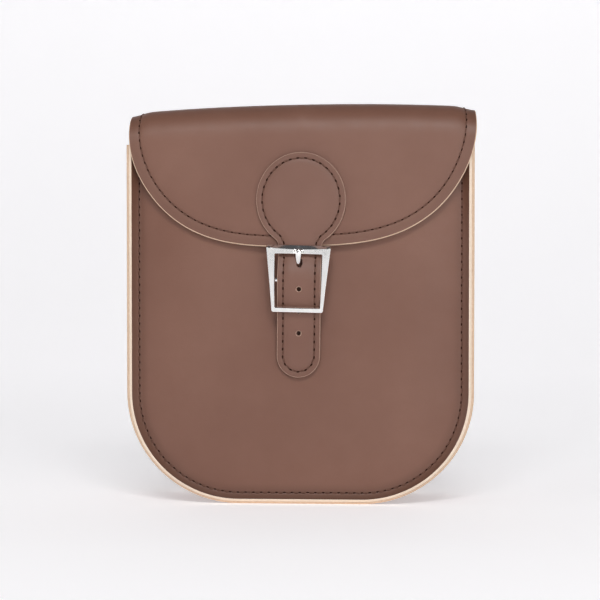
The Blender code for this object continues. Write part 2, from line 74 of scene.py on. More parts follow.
# Leather
LEATHER = 2.2 * MM
GUSSET_LEATHER = 2.0 * MM
PLY_GAP = 0.1 * MM
SEAM_PLIES = LEATHER + GUSSET_LEATHER + PLY_GAP
CORNER = 66 * MM
EDGE_ROUND = 0.35 * MM
STITCH_PITCH = 4.6 * MM
STITCH_GAP = 0.8 * MM
STITCH_SLANT = 0.12 * MM
STITCH_HOLE = (1.05 * MM, 0.68 * MM)

# The two panels
SEAM_FRONT_Y = PANEL_HIGH.y - LEATHER
FRONT_DOME = SEAM_FRONT_Y - PANEL_LOW.y
BACK_DOME = 2.8 * MM
DOME_REACH = 50 * MM

# The fold over the top
BACK_ROLL = 8 * MM
FRONT_ROLL = 18 * MM
FLAP_Y = PANEL_LOW.y - 2.5 * MM
FLAP_LEAN = 0.0403
TOP_HALF = 100.5 * MM
FLAP_HALF = 101.9 * MM
FLAP_WIDEST_Z = 226.5 * MM
FLAP_SHIFT = 1.7 * MM
FLAP_SKEW = 0.019


def ease(t):
    t = np.clip(t, 0, 1)
    return t * t * (3 - 2 * t)


def unit(vectors):
    length = np.linalg.norm(vectors, axis=-1, keepdims=True)
    return vectors / np.maximum(length, 1e-12)


def stacked(*parts):
    """Arrays of coordinates, side by side."""
    return np.stack(parts, axis=-1)


def full_turn(count):
    return np.linspace(0, 2 * math.pi, count, endpoint=False)


# Paths


def soften(points, sigma, step):
    """A polyline of evenly spaced points, smoothed, with its ends kept."""
    reach = int(4 * sigma / step)
    offsets = np.arange(-reach, reach + 1)
    weights = np.exp(-0.5 * (offsets * step / sigma) ** 2)
    weights /= weights.sum()
    before = 2 * points[0] - points[reach:0:-1]
    after = 2 * points[-1] - points[-2 : -reach - 2 : -1]
    padded = np.concatenate([before, points, after])
    columns = [np.convolve(padded[:, k], weights, "valid") for k in range(points.shape[1])]
    return np.stack(columns, axis=1)


def lengths(points):
    steps = np.linalg.norm(np.diff(points, axis=0), axis=1)
    return np.concatenate([[0], np.cumsum(steps)])


def read_at(places, along, table):
    """Each column of a table of points or directions, read at places along a line."""
    return [np.interp(places, along, column) for column in table.T]


def resample(points, count):
    """The polyline at evenly spaced places."""
    along = lengths(points)
    return np.stack(read_at(np.linspace(0, along[-1], count), along, points), axis=1)


def upright(s, along, normals):
    """3-D directions at s, from a table of (y, z) directions along a line."""
    return stacked(np.zeros(len(s)), *read_at(s, along, normals))


def softened(points, count, sigma):
    """The polyline evenly resampled and then smoothed."""
    points = resample(points, count)
    return soften(points, sigma, lengths(points)[-1] / (count - 1))


def spline(knots, count):
    """A smooth curve through the knots, evenly sampled."""
    knots = np.array(knots, float)
    padded = np.concatenate([[2 * knots[0] - knots[1]], knots, [2 * knots[-1] - knots[-2]]])
    places = []
    for a, b, c, d in zip(padded, padded[1:], padded[2:], padded[3:]):
        for t in np.linspace(0, 1, 24, endpoint=False):
            places.append(
                b
                + 0.5 * t * (c - a)
                + t * t * (a - 2.5 * b + 2 * c - 0.5 * d)
                + t**3 * (1.5 * (b - c) + 0.5 * (d - a))
            )
    places.append(knots[-1])
    return resample(np.array(places), count)


def arc_points(centre, radius, start, end, count):
    angle = np.linspace(start, end, count)
    return stacked(centre[0] - radius * np.cos(angle), centre[1] + radius * np.sin(angle))


FOLD_STEP = 0.25 * MM
back_centre = (BACK_Y - BACK_ROLL, TOP_Z - BACK_ROLL)
front_centre = (FLAP_Y + FRONT_ROLL, TOP_Z - FRONT_ROLL)
flap_end = (FLAP_Y - FLAP_LEAN * 0.1, front_centre[1] - 0.1)
fold_line = np.concatenate(
    [
        [(BACK_Y, 0.0)],
        arc_points(back_centre, BACK_ROLL, math.pi, math.pi / 2, 60),
        arc_points(front_centre, FRONT_ROLL, math.pi / 2, 0, 90),
        [flap_end],
    ]
)
fold_line = resample(fold_line, int(lengths(fold_line)[-1] / FOLD_STEP))
fold_line = soften(fold_line, 2.2 * MM, FOLD_STEP)
fold_s = lengths(fold_line)
top_middle_y = (back_centre[0] + front_centre[0]) / 2
top_places = np.flatnonzero(fold_line[:, 1] > TOP_Z - 0.1 * MM)
top_middle = top_places[np.argmin(np.abs(fold_line[top_places, 0] - top_middle_y))]
fold_s -= fold_s[top_middle]
FOLD_NORMAL = unit(np.gradient(fold_line, axis=0))[:, ::-1] * [1, -1]
if FOLD_NORMAL[top_middle, 1] < 0:
    FOLD_NORMAL = -FOLD_NORMAL

BACK_ROLL_START = -(back_centre[0] - top_middle_y)
BACK_ROLL_END = BACK_ROLL_START - BACK_ROLL * math.pi / 2
FRONT_ROLL_START = top_middle_y - front_centre[0]
FRONT_ROLL_END = FRONT_ROLL_START + FRONT_ROLL * math.pi / 2
S_FLOOR = fold_s[0]


def fold(s):
    """(y, z) of the leather's outer face."""
    return read_at(s, fold_s, fold_line)


def s_of_front_z(z):
    """Where the flap's front is at this height."""
    front = fold_s > 5 * MM
    return np.interp(-np.asarray(z, float), -fold_line[front, 1], fold_s[front])


S_FLAP_END = float(s_of_front_z(FLAP_BOTTOM_Z))


# How the folded leather differs from the plain fold


def settle(s):
    """0 at the back, rising to 1 once the flap hangs at the front: it was cut and folded a little askew."""
    return ease((s + 35 * MM) / (90 * MM))


def drape(x, s):
    """The place of a point of the one sheet that makes the back, the top and the flap."""
    turn = settle(s)
    s_moved = s - FLAP_SKEW * x * turn * ease(s / (30 * MM))
    y, z = fold(s_moved)
    share = np.abs(x) / 0.1
    crown = 1.0 * MM - 3.2 * MM * share**2.2 + 1.6 * MM * x / 0.1
    crown -= 2.2 * MM * ease((np.abs(x) - 88 * MM) / (15 * MM))
    over_top = ease((s - BACK_ROLL_END + 55 * MM) / (55 * MM))
    over_top *= 1 - ease((s - FRONT_ROLL_END + 14 * MM) / (60 * MM))
    z = z + crown * over_top
    on_front = ease((s - FRONT_ROLL_START) / (35 * MM))
    y = y + 1.5 * MM * share**2 * on_front
    beside_patch = ease((np.abs(x) - 30 * MM) / (30 * MM))
    y = y - 0.35 * MM * on_front * beside_patch * np.sin(x * 38 + 0.9) * np.cos(s * 45)
    return stacked(x + FLAP_SHIFT * turn, y, z)


def outline_u(top):
    """The bag's U, as (x, height) and inward normals."""
    angle = np.linspace(-math.pi / 2, 0, 60)
    turn = stacked(HALF - CORNER + CORNER * np.cos(angle), CORNER + CORNER * np.sin(angle))
    return mirrored(np.concatenate([[(0, 0)], turn, [(HALF, top)]]), 2.6 * MM)


def mirrored(right, spacing):
    """Evenly spaced points down the left side, along the bottom and up the right, with inward normals."""
    right = resample(right, int(lengths(right)[-1] / spacing) + 1)
    along = np.gradient(right, axis=0)
    along[0] = (1, 0)
    normal = unit(stacked(-along[:, 1], along[:, 0]))
    left, left_normal = right[:0:-1] * [-1, 1], normal[:0:-1] * [-1, 1]
    return np.concatenate([left, right]), np.concatenate([left_normal, normal])


def lowness(normal):
    """0 on a U's sides and 1 along its bottom."""
    return ease(normal[:, 1])


def seam_inset(low):
    return (7.3 - 0.77 * low) * MM


def flange_length(low):
    return (6.16 - 1.16 * low) * MM


# Mesh building


def new_object(name, data, materials=()):
    thing = bpy.data.objects.new(name, data)
    bpy.context.scene.collection.objects.link(thing)
    for material in materials:
        data.materials.append(material)
    return thing


class Buffer:
    """Vertices and faces of one mesh, gathered part by part."""

    def __init__(self):
        self.points, self.faces, self.slots, self.count = [], [], [], 0

    def add(self, points, faces, slot=0):
        self.points.append(np.asarray(points, float))
        self.faces += [[i + self.count for i in face] for face in faces]
        self.slots += [slot] * len(faces)
        self.count += len(points)

    def to_object(self, name, materials, smooth=True):
        mesh = bpy.data.meshes.new(name)
        mesh.from_pydata(np.concatenate(self.points).tolist(), [], self.faces)
        mesh.polygons.foreach_set("material_index", self.slots)
        mesh.polygons.foreach_set("use_smooth", [smooth] * len(self.faces))
        mesh.validate()
        return new_object(name, mesh, materials)


def grid_normals(grid, cyclic=False):
    along = np.gradient(grid, axis=1)
    if cyclic:
        along = (np.roll(grid, -1, axis=1) - np.roll(grid, 1, axis=1)) / 2
    across = np.gradient(grid, axis=0)
    return unit(np.cross(along, across))


def leather_sheet(
    name, grid, outward, thickness, materials, rim,
    folded=False, cyclic=False, slant=0.0, square_ends=False,
):
    """A closed sheet behind a grid of points on its outer face. Row 0 is a cut edge and columns run along it.

    rim is a number for each point, which the leather's shader reads. folded: the last row folds onto itself,
    column against mirrored column, so the grid fills an outline; otherwise it is a cut edge too. slant moves
    the back of row 0 outwards. square_ends: the end columns meet another piece and stay square.
    """
    rows, columns = grid.shape[:2]
    normals = grid_normals(grid, cyclic)
    if np.dot(normals[rows // 2, columns // 2], outward) < 0:
        normals = -normals
    mirror = (-np.arange(columns)) % columns if cyclic else np.arange(columns)[::-1]
    if folded:
        normals[-1] = unit(normals[-2] + normals[-2, mirror])
    inner = grid - normals * thickness
    inner[0] += unit(grid[0] - grid[1]) * slant
    numbers = np.arange(rows * columns).reshape(rows, columns)
    if folded:
        numbers[-1] = np.minimum(numbers[-1], numbers[-1, mirror])
    offset = rows * columns
    spans = columns if cyclic else columns - 1
    after = [(c + 1) % columns for c in range(columns)]
    faces = []
    for r in range(rows - 1):
        for c in range(spans):
            face = [numbers[r, c], numbers[r, after[c]], numbers[r + 1, after[c]], numbers[r + 1, c]]
            faces.append((face, 0))
            faces.append(([i + offset for i in reversed(face)], 2))
    edges = [(line[c], line[after[c]]) for line in numbers[[0] if folded else [0, -1]] for c in range(spans)]
    ends = []
    if not cyclic:
        ends = [(numbers[r, c], numbers[r + 1, c]) for c in (0, columns - 1) for r in range(rows - 1)]
    faces += [([a, b, b + offset, a + offset], 1) for a, b in edges + ends]

    bm = bmesh.new()
    shade = bm.verts.layers.float.new("rim")
    verts = [bm.verts.new(p) for p in np.concatenate([grid.reshape(-1, 3), inner.reshape(-1, 3)])]
    for vert, value in zip(verts, np.tile(rim.reshape(-1), 2)):
        vert[shade] = value
    for face, slot in faces:
        corners = list(dict.fromkeys(int(i) for i in face))
        if len(corners) > 2:
            bm.faces.new([verts[i] for i in corners]).material_index = slot
    bmesh.ops.recalc_face_normals(bm, faces=bm.faces)
    if sum(f.normal.dot(Vector(outward)) for f in bm.faces if f.material_index == 0) < 0:
        bmesh.ops.reverse_faces(bm, faces=bm.faces)
    square = set()
    if square_ends:
        square = {frozenset((a + k, b + k)) for a, b in ends for k in (0, offset)}
    index = {vert: i for i, vert in enumerate(verts)}
    rounded = []
    for edge in bm.edges:
        if len({f.material_index for f in edge.link_faces}) > 1:
            if frozenset(index[v] for v in edge.verts) in square:
                edge.smooth = False
            else:
                rounded.append(edge)
    bmesh.ops.bevel(
        bm,
        geom=rounded,
        offset=EDGE_ROUND,
        offset_type="OFFSET",
        segments=2,
        profile=0.5,
        affect="EDGES",
        clamp_overlap=True,
        material=1,
    )
    for face in bm.faces:
        face.smooth = True
    bmesh.ops.delete(bm, geom=[v for v in bm.verts if not v.link_faces], context="VERTS")
    mesh = bpy.data.meshes.new(name)
    bm.to_mesh(mesh)
    bm.free()
    return new_object(name, mesh, materials)


def ring_faces(count, sides, closed):
    """Quads between neighbouring rings of points, and back to the first ring if closed."""
    faces = []
    for i in range(count if closed else count - 1):
        j = (i + 1) % count
        for k in range(sides):
            m = (k + 1) % sides
            faces.append([i * sides + k, i * sides + m, j * sides + m, j * sides + k])
    return faces


def tube(buffer, path, radii, normals, sides=10, slot=0, closed=False, flatness=1.0):
    """A round tube, or an oval one, along a path. Open ends are capped."""
    path = np.asarray(path, float)
    count = len(path)
    radii = np.broadcast_to(radii, (count,))
    if closed:
        tangent = unit(np.roll(path, -1, axis=0) - np.roll(path, 1, axis=0))
    else:
        tangent = unit(np.gradient(path, axis=0))
    normals = np.broadcast_to(np.asarray(normals, float), (count, 3))
    side = unit(np.cross(tangent, normals))
    up = np.cross(side, tangent)
    angle = full_turn(sides)
    ring = np.cos(angle)[None, :, None] * side[:, None] * radii[:, None, None]
    ring = ring + flatness * np.sin(angle)[None, :, None] * up[:, None] * radii[:, None, None]
    points = (path[:, None] + ring).reshape(-1, 3)
    faces = ring_faces(count, sides, closed)
    if not closed:
        faces.append(list(reversed(range(sides))))
        faces.append([(count - 1) * sides + k for k in range(sides)])
    buffer.add(points, faces, slot)


def stitches(name, line, normals, radius=0.45 * MM, closed=False):
    """A run of separate stitches along a line on the leather, each dipping into a hole at its ends."""
    along = lengths(line)
    count = round(along[-1] / STITCH_PITCH)
    places = np.linspace(0, along[-1], count + 1)
    holes = np.stack(read_at(places, along, line), axis=1)
    ups = unit(np.stack(read_at(places, along, normals), axis=1))
    buffer = Buffer()
    t = np.linspace(0, 1, 9)
    lift = -0.25 * MM + (0.62 * MM) * np.sin(math.pi * t) ** 0.55
    widths = radius * (0.62 + 0.38 * np.sin(math.pi * t) ** 0.5)
    for i in range(count):
        a, b = holes[i], holes[i + 1]
        up = unit(ups[i] + ups[i + 1])
        aim = unit(b - a)
        side = np.cross(aim, up)
        end = aim * STITCH_GAP - side * STITCH_SLANT
        a, b = a + end, b - end
        path = a + (b - a) * t[:, None] + up * lift[:, None]
        tube(buffer, path, widths, up, sides=8)
    # Each hole is a dark lens laid on the leather: painted shade where the hole's recess is.
    ring = full_turn(10)
    for i in range(count + (0 if closed else 1)):
        up = ups[i]
        aim = unit(holes[min(i + 1, count)] - holes[max(i - 1, 0)])
        side = np.cross(aim, up)
        long, wide = STITCH_HOLE
        disc = holes[i] + long * np.cos(ring)[:, None] * aim + wide * np.sin(ring)[:, None] * side
        disc = disc + 0.04 * MM * up
        points = np.concatenate([disc, [holes[i] + up * 0.16 * MM], [holes[i] - up * 0.3 * MM]])
        fans = [[k, (k + 1) % 10, 10] for k in range(10)] + [[(k + 1) % 10, k, 11] for k in range(10)]
        buffer.add(points, fans, 1)
    return buffer.to_object(name, THREAD_MATERIALS)


# Materials


def shader_tree(name, **sockets):
    """A new material, its node tree and its Principled shader with these sockets set."""
    material = bpy.data.materials.new(name)
    material.use_nodes = True
    tree = material.node_tree
    shader = tree.nodes["Principled BSDF"]
    for socket, value in sockets.items():
        shader.inputs[socket.replace("_", " ")].default_value = value
    return material, tree, shader


def add_node(tree, kind, **settings):
    node = tree.nodes.new(kind)
    for key, value in settings.items():
        if hasattr(node, key):
            setattr(node, key, value)
        else:
            node.inputs[key.replace("_", " ")].default_value = value
    return node


def object_noise(tree, scale, detail, stretch=(1, 1, 1)):
    place = add_node(tree, "ShaderNodeTexCoord")
    mapping = add_node(tree, "ShaderNodeMapping", Scale=stretch)
    noise = add_node(tree, "ShaderNodeTexNoise", Scale=scale, Detail=detail)
    tree.links.new(place.outputs["Object"], mapping.inputs["Vector"])
    tree.links.new(mapping.outputs["Vector"], noise.inputs["Vector"])
    return noise.outputs["Fac"]


def ranged(tree, value, low, high, from_low=0.3, from_high=0.7):
    """A value's range, from_low to from_high, spread over low to high."""
    ends = {"From_Min": from_low, "From_Max": from_high, "To_Min": low, "To_Max": high}
    node = add_node(tree, "ShaderNodeMapRange", **ends)
    tree.links.new(value, node.inputs["Value"])
    return node.outputs["Result"]


def mixed(tree, factor, a, b):
    """Colour a where the factor is 0 and b where it is 1. Either may be a socket or a colour."""
    node = add_node(tree, "ShaderNodeMix", data_type="RGBA")
    for socket, value in ((node.inputs[6], a), (node.inputs[7], b)):
        if isinstance(value, tuple):
            socket.default_value = (*value, 1)
        else:
            tree.links.new(value, socket)
    tree.links.new(factor, node.inputs[0])
    return node.outputs[2]


def coloured(tree, shader, factor, a, b):
    tree.links.new(mixed(tree, factor, a, b), shader.inputs["Base Color"])


def uneven_gloss(tree, shader, noise, low, high):
    tree.links.new(ranged(tree, noise, low, high), shader.inputs["Roughness"])


def bumped(tree, shader, layers):
    """Stack bumps on the shader's normal. Each layer is (height socket, strength, distance)."""
    last = None
    for height, strength, distance in layers:
        node = add_node(tree, "ShaderNodeBump", Strength=strength, Distance=distance)
        tree.links.new(height, node.inputs["Height"])
        if last:
            tree.links.new(last, node.inputs["Normal"])
        last = node.outputs["Normal"]
    tree.links.new(last, shader.inputs["Normal"])


def grain_cells(tree, scale):
    place = add_node(tree, "ShaderNodeTexCoord")
    cells = add_node(tree, "ShaderNodeTexVoronoi", Scale=scale)
    tree.links.new(place.outputs["Object"], cells.inputs["Vector"])
    return cells.outputs["Distance"]


def grain_leather(name, light, dark):
    """Smooth dyed leather: fine pores, soft mottling, and a darker rim, part burnish and part painted shade.
    """
    roughness = 0.5
    material, tree, shader = shader_tree(
        name, Roughness=roughness, IOR=1.46, Sheen_Weight=0.03, Sheen_Roughness=0.45,
        Coat_Weight=0.2, Coat_Roughness=0.5,
    )
    shader.inputs["Sheen Tint"].default_value = (0.9, 0.75, 0.68, 1)
    clouds = ranged(tree, object_noise(tree, 14, 4), 0, 1)
    blotches = ranged(tree, object_noise(tree, 70, 5), 0, 1)
    base = mixed(tree, clouds, dark, light)
    spotted = mixed(tree, ranged(tree, object_noise(tree, 900, 2), 0, 0.16), base, dark)
    wide = mixed(tree, ranged(tree, blotches, 0, 0.22, 0, 1), spotted, dark)
    rim = add_node(tree, "ShaderNodeAttribute", attribute_name="rim")
    near_rim = ranged(tree, rim.outputs["Fac"], 0, 1, 0, 1)
    coloured(tree, shader, near_rim, wide, RIM_BURNISH_AND_SHADE_BROWN)
    uneven_gloss(tree, shader, object_noise(tree, 160, 4), roughness - 0.05, roughness + 0.06)
    bumped(
        tree,
        shader,
        [
            (object_noise(tree, 45, 3), 0.25, 0.0006),
            (grain_cells(tree, 1700), 0.28, 0.00008),
            (object_noise(tree, 3200, 3), 0.22, 0.00005),
        ],
    )
    return material


def cut_leather(name, light, dark):
    """The raw edge: pale fibres, a little burnished."""
    material, tree, shader = shader_tree(name, Roughness=0.72, IOR=1.4, Sheen_Weight=0.1)
    fibres = ranged(tree, object_noise(tree, 620, 5, (1, 2.4, 1)), 0, 1, 0.2, 0.8)
    stains = ranged(tree, object_noise(tree, 38, 3), 0, 0.35, 0.5, 0.75)
    coloured(tree, shader, stains, mixed(tree, fibres, dark, light), dark)
    bumped(tree, shader, [(object_noise(tree, 1500, 4, (1, 2, 1)), 0.5, 0.00012)])
    return material


def flesh_leather(name, light, dark):
    """The suede back of the leather."""
    material, tree, shader = shader_tree(
        name, Roughness=0.92, IOR=1.4, Sheen_Weight=0.35, Sheen_Roughness=0.6
    )
    nap = ranged(tree, object_noise(tree, 55, 6), 0, 1)
    coloured(tree, shader, nap, dark, light)
    bumped(tree, shader, [(object_noise(tree, 1300, 5), 0.7, 0.0002)])
    return material


def waxed_thread(name, colour, dark, gloss=0.3):
    material, tree, shader = shader_tree(name, Roughness=0.7, Specular_IOR_Level=gloss)
    strands = ranged(tree, object_noise(tree, 2400, 2, (1, 1, 0.4)), 0, 1)
    coloured(tree, shader, strands, dark, colour)
    bumped(tree, shader, [(object_noise(tree, 2600, 2, (1, 1, 0.4)), 0.6, 0.00012)])
    return material


def plated(name, colour, roughness):
    material, tree, shader = shader_tree(name, Metallic=1.0, Roughness=roughness)
    smudge = ranged(tree, object_noise(tree, 120, 4), 0, 1)
    coloured(tree, shader, smudge, colour, tuple(c * 0.9 for c in colour))
    uneven_gloss(tree, shader, object_noise(tree, 260, 5), roughness * 0.7, roughness * 1.6)
    bumped(tree, shader, [(object_noise(tree, 900, 4, (1, 6, 1)), 0.05, 0.00004)])
    return material


BROWN = (0.222, 0.104, 0.070)
BROWN_DARK = (0.180, 0.077, 0.049)
PATCH_BROWN = (0.222, 0.108, 0.076)
PATCH_BROWN_DARK = (0.182, 0.082, 0.055)
# Darker brown for the rims: part burnish, part painted shade.
RIM_BURNISH_AND_SHADE_BROWN = (0.112, 0.047, 0.026)
CREAM = (0.95, 0.81, 0.67)
CREAM_DARK = (0.86, 0.68, 0.52)
TAN = (0.78, 0.58, 0.42)
TAN_DARK = (0.64, 0.44, 0.30)
EDGE_BROWN = (0.50, 0.33, 0.25)
EDGE_BROWN_DARK = (0.30, 0.17, 0.12)
SUEDE = (0.46, 0.32, 0.22)
SUEDE_DARK = (0.34, 0.22, 0.14)
THREAD_BROWN = (0.165, 0.078, 0.053)
THREAD_BROWN_DARK = (0.105, 0.048, 0.032)
# Near-black browns for the stitch holes and the punched holes' walls: painted shade inside the holes.
HOLE_SHADE_BROWN = (0.046, 0.019, 0.011)
HOLE_SHADE_BROWN_DARK = (0.028, 0.011, 0.007)
NICKEL = (0.93, 0.92, 0.90)

body_leather = grain_leather("body_leather", BROWN, BROWN_DARK)
patch_leather = grain_leather("patch_leather", PATCH_BROWN, PATCH_BROWN_DARK)
cut_edge = cut_leather("cut_edge", CREAM, CREAM_DARK)
inner_edge = cut_leather("inner_edge", TAN, TAN_DARK)
dyed_edge = cut_leather("dyed_edge", EDGE_BROWN, EDGE_BROWN_DARK)
flesh_side = flesh_leather("flesh_side", SUEDE, SUEDE_DARK)
thread = waxed_thread("waxed_thread", THREAD_BROWN, THREAD_BROWN_DARK)
hole_painted_shade = waxed_thread("stitch_hole_painted_shade", HOLE_SHADE_BROWN, HOLE_SHADE_BROWN_DARK, gloss=0.05)
nickel = plated("polished_nickel", NICKEL, 0.09)
SHEET_MATERIALS = (body_leather, cut_edge, flesh_side)
TAN_MATERIALS = (body_leather, inner_edge, flesh_side)
PATCH_MATERIALS = (patch_leather, dyed_edge, flesh_side, hole_painted_shade)
THREAD_MATERIALS = (thread, hole_painted_shade)


# Panels


def dome_share(t):
    """How much of a panel's dome has risen at this distance from its seam."""
    return np.where(t > 0, 1 - (1 - np.clip(t / DOME_REACH, 0, 1)) ** 3, 3 * t / DOME_REACH)


def u_distance(x, height):
    """How far inside the bag's U a point is."""
    right, down = np.abs(x) - (HALF - CORNER), CORNER - height
    round_part = CORNER - np.hypot(np.maximum(right, 0), np.maximum(down, 0))
    return np.where((right > 0) & (down > 0), round_part, CORNER - np.maximum(right, down))


FLANGE_SHARES = (1.0, 0.86, 0.6, 0.34, 0.16)
RING_T = np.array([0, 0.9, 2.0, 3.4, 5.5, 8.5, 12, 16]) * MM
TOP_SEAM = 6.16 * MM  # from the flap's edge to its stitches
SPINE_LOW = CORNER + 4 * MM


def fill_outline(outline, normal, insets, spine, steps=16):
    """Flat rows parallel to an outline, then rows that close on a spine of heights in its middle."""
    rows = [outline + normal * np.broadcast_to(inset, len(outline))[:, None] for inset in insets]
    spine = stacked(np.zeros(len(outline)), spine)
    last = rows[-1]
    rows += [last + (spine - last) * (i / steps) for i in range(1, steps + 1)]
    return np.array(rows)


def even_spine(outline, low, high):
    """Spine heights for an open mirrored outline, spaced as its points are, from its middle outwards."""
    along = lengths(outline)
    along = np.abs(along - along[len(outline) // 2])
    return low + (high - low) * along / along.max()


def seam_rows(low, angle):
    """Insets of a flared panel's rows from its outline, and how far its flange rises from the seam."""
    inset, length = seam_inset(low), flange_length(low)
    insets = [inset - share * length * np.cos(angle) for share in FLANGE_SHARES]
    rises = [share * length * np.sin(angle) for share in FLANGE_SHARES]
    return insets + [inset + t for t in RING_T], rises


def valley(t, slope):
    """How far the leather rises out of a sharp valley at the seam, where the two slopes add up to this."""
    soft = 0.8 * MM
    return slope * (np.sqrt(t * t + soft**2) - np.abs(t)) / 2


def front_lean(low):
    return np.radians(47 - 5 * low)


def back_lean(low, height):
    return np.radians(30 + 5 * low) * (1 - ease((height - 185 * MM) / (27 * MM)))


def back_recess(height):
    """How far the back's seam lies in front of the back's middle."""
    return BACK_DOME * (1 - ease((height - 168 * MM) / (44 * MM)))


def attach(piece, body, slot_name, *nodes):
    """Tie a finished piece to its body. A piece given two bodies stays where it is, with its transform baked.
    """
    if nodes:
        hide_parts(*nodes)
    if isinstance(body, tuple):
        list(body[:2])
        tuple(body[2])
        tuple(body[3])
        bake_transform(piece)
    else:
        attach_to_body(piece, body)


BACK_BEND = (
    "bag_body",
    "flap_top",
    (0, BACK_Y, TOP_Z - BACK_ROLL - 2 * MM),
    (0, BACK_Y - BACK_ROLL - 2 * MM, TOP_Z),
)
FRONT_BEND = ("flap_top", "flap_front", (0, FLAP_Y + FRONT_ROLL, TOP_Z), (0, FLAP_Y, TOP_Z - FRONT_ROLL))


def rim_shade(t):
    """How darkened a panel's rim is, part burnish and part painted shade: 0 inside, then more over the
    flange.
    """
    return np.where(t < 0, 0.45 + 0.55 * ease(-t / (4 * MM)), 0.45 * (1 - ease(t / (6 * MM))))


def build_front_panel():
    outline, normal = outline_u(MOUTH_Z)
    low = lowness(normal)
    angle = front_lean(low)
    insets, rises = seam_rows(low, angle)
    flat = fill_outline(outline, normal, insets, even_spine(outline, SPINE_LOW, MOUTH_Z))
    rows, rims = [], []
    slope = np.tan(angle) + 3 * FRONT_DOME / DOME_REACH
    for i, (x, z) in enumerate(zip(flat[..., 0], flat[..., 1])):
        t = u_distance(x, z) - seam_inset(low)
        lift = valley(t, slope)
        if i < len(rises):
            lift = lift + rises[i]
        else:
            ripple = np.sin(x * 33 + 0.6) * np.sin(z * 27 + 1.1) + 0.6 * np.sin(x * 61 + z * 40)
            lift = lift + FRONT_DOME * dome_share(t) + 0.30 * MM * ripple * ease(t / (40 * MM))
        rows.append(stacked(x, SEAM_FRONT_Y - lift, z))
        # The rim's darkening, burnish and painted shade, is weaker up the sides than along the bottom.
        rims.append(rim_shade(t) * (0.7 + 0.3 * low))
    grid = np.array(rows)
    piece = leather_sheet(
        "front_panel_leather", grid, (0, -1, 0), LEATHER, SHEET_MATERIALS, folded=True, rim=np.array(rims)
    )
    attach(piece, "bag_body", "leather", "front_panel")
    seam = grid[len(FLANGE_SHARES)]
    up = np.tile([0.0, -1.0, 0.0], (len(seam), 1))
    attach(stitches("front_seam_stitches", seam, up), "bag_body", "thread")


def gusset_section(low, height):
    """(inset, y) of the gusset's grain face from front to back, for one place along the U."""
    inset, length = seam_inset(low), flange_length(low)
    front, back = front_lean(low), back_lean(low, height)
    seam_back = BACK_Y - back_recess(height)
    edge_front = (
        inset - length * math.cos(front) - SEAM_PLIES * math.sin(front),
        SEAM_FRONT_Y - length * math.sin(front) + SEAM_PLIES * math.cos(front),
    )
    edge_back = (
        inset - length * math.cos(back) - SEAM_PLIES * math.sin(back),
        seam_back + length * math.sin(back) - SEAM_PLIES * math.cos(back),
    )
    web_front = inset - (LEATHER + PLY_GAP) * math.sin(front) - GUSSET_LEATHER
    web_back = inset - (LEATHER + PLY_GAP) * math.sin(back) - GUSSET_LEATHER
    turn_front = edge_front[1] + (web_front - edge_front[0]) * math.tan(front)
    turn_back = edge_back[1] - (web_back - edge_back[0]) * math.tan(back)
    pinch = 8 * MM
    line = [
        edge_front,
        (web_front, turn_front),
        (web_front + 0.4 * (pinch - web_front), turn_front + 3 * MM),
        (pinch, turn_front + 13 * MM),
        (pinch, turn_back - 13 * MM),
        (web_back + 0.4 * (pinch - web_back), turn_back - 3 * MM),
        (web_back, turn_back),
        edge_back,
    ]
    dense = softened(np.array(line), 161, 1.2 * MM)
    picks = [0, 3, 6, 9, 11, 13, 15, 17, 19, 21, 24, 27, 31, 36, 42, 50, 60, 70, 80]
    picks += [160 - i for i in reversed(picks[:-1])]
    return dense[picks]


def build_gusset():
    outline, normal = outline_u(MOUTH_Z)
    low = lowness(normal)
    sections = np.array([gusset_section(k, h) for k, h in zip(low, outline[:, 1])]).transpose(1, 0, 2)
    flat = outline + normal * sections[..., :1]
    x, z = flat[..., 0], flat[..., 1]
    middle = np.exp(-(((sections[..., 1] - 8 * MM) / (16 * MM)) ** 2))
    below_tabs = 1 - ease((outline[:, 1] - 140 * MM) / (30 * MM))
    sway = 0.7 * MM * np.sin(lengths(outline) * 31 + 0.7) * middle * below_tabs
    x = x + sway * normal[:, 0]
    z = z + sway * normal[:, 1]
    grid = stacked(x, sections[..., 1], z)
    along = np.linspace(0, 1, len(sections))[:, None]
    # Darker towards both seams: burnish and painted shade, as on the panels' rims.
    rim = np.broadcast_to(np.maximum(1 - along / 0.12, 1 - (1 - along) / 0.12).clip(0, 1), x.shape)
    piece = leather_sheet("gusset_leather", grid, (0, 0, -1), GUSSET_LEATHER, TAN_MATERIALS, rim=rim)
    attach(piece, "bag_body", "leather", "gusset")


def raise_sheet(x, s, lift):
    """A point of the long sheet, moved out of its face."""
    return drape(x, s) + upright(s, fold_s, FOLD_NORMAL) * np.reshape(lift, (-1, 1))


def stitch_groove(t):
    return -0.28 * MM * np.exp(-((t / (0.9 * MM)) ** 2))


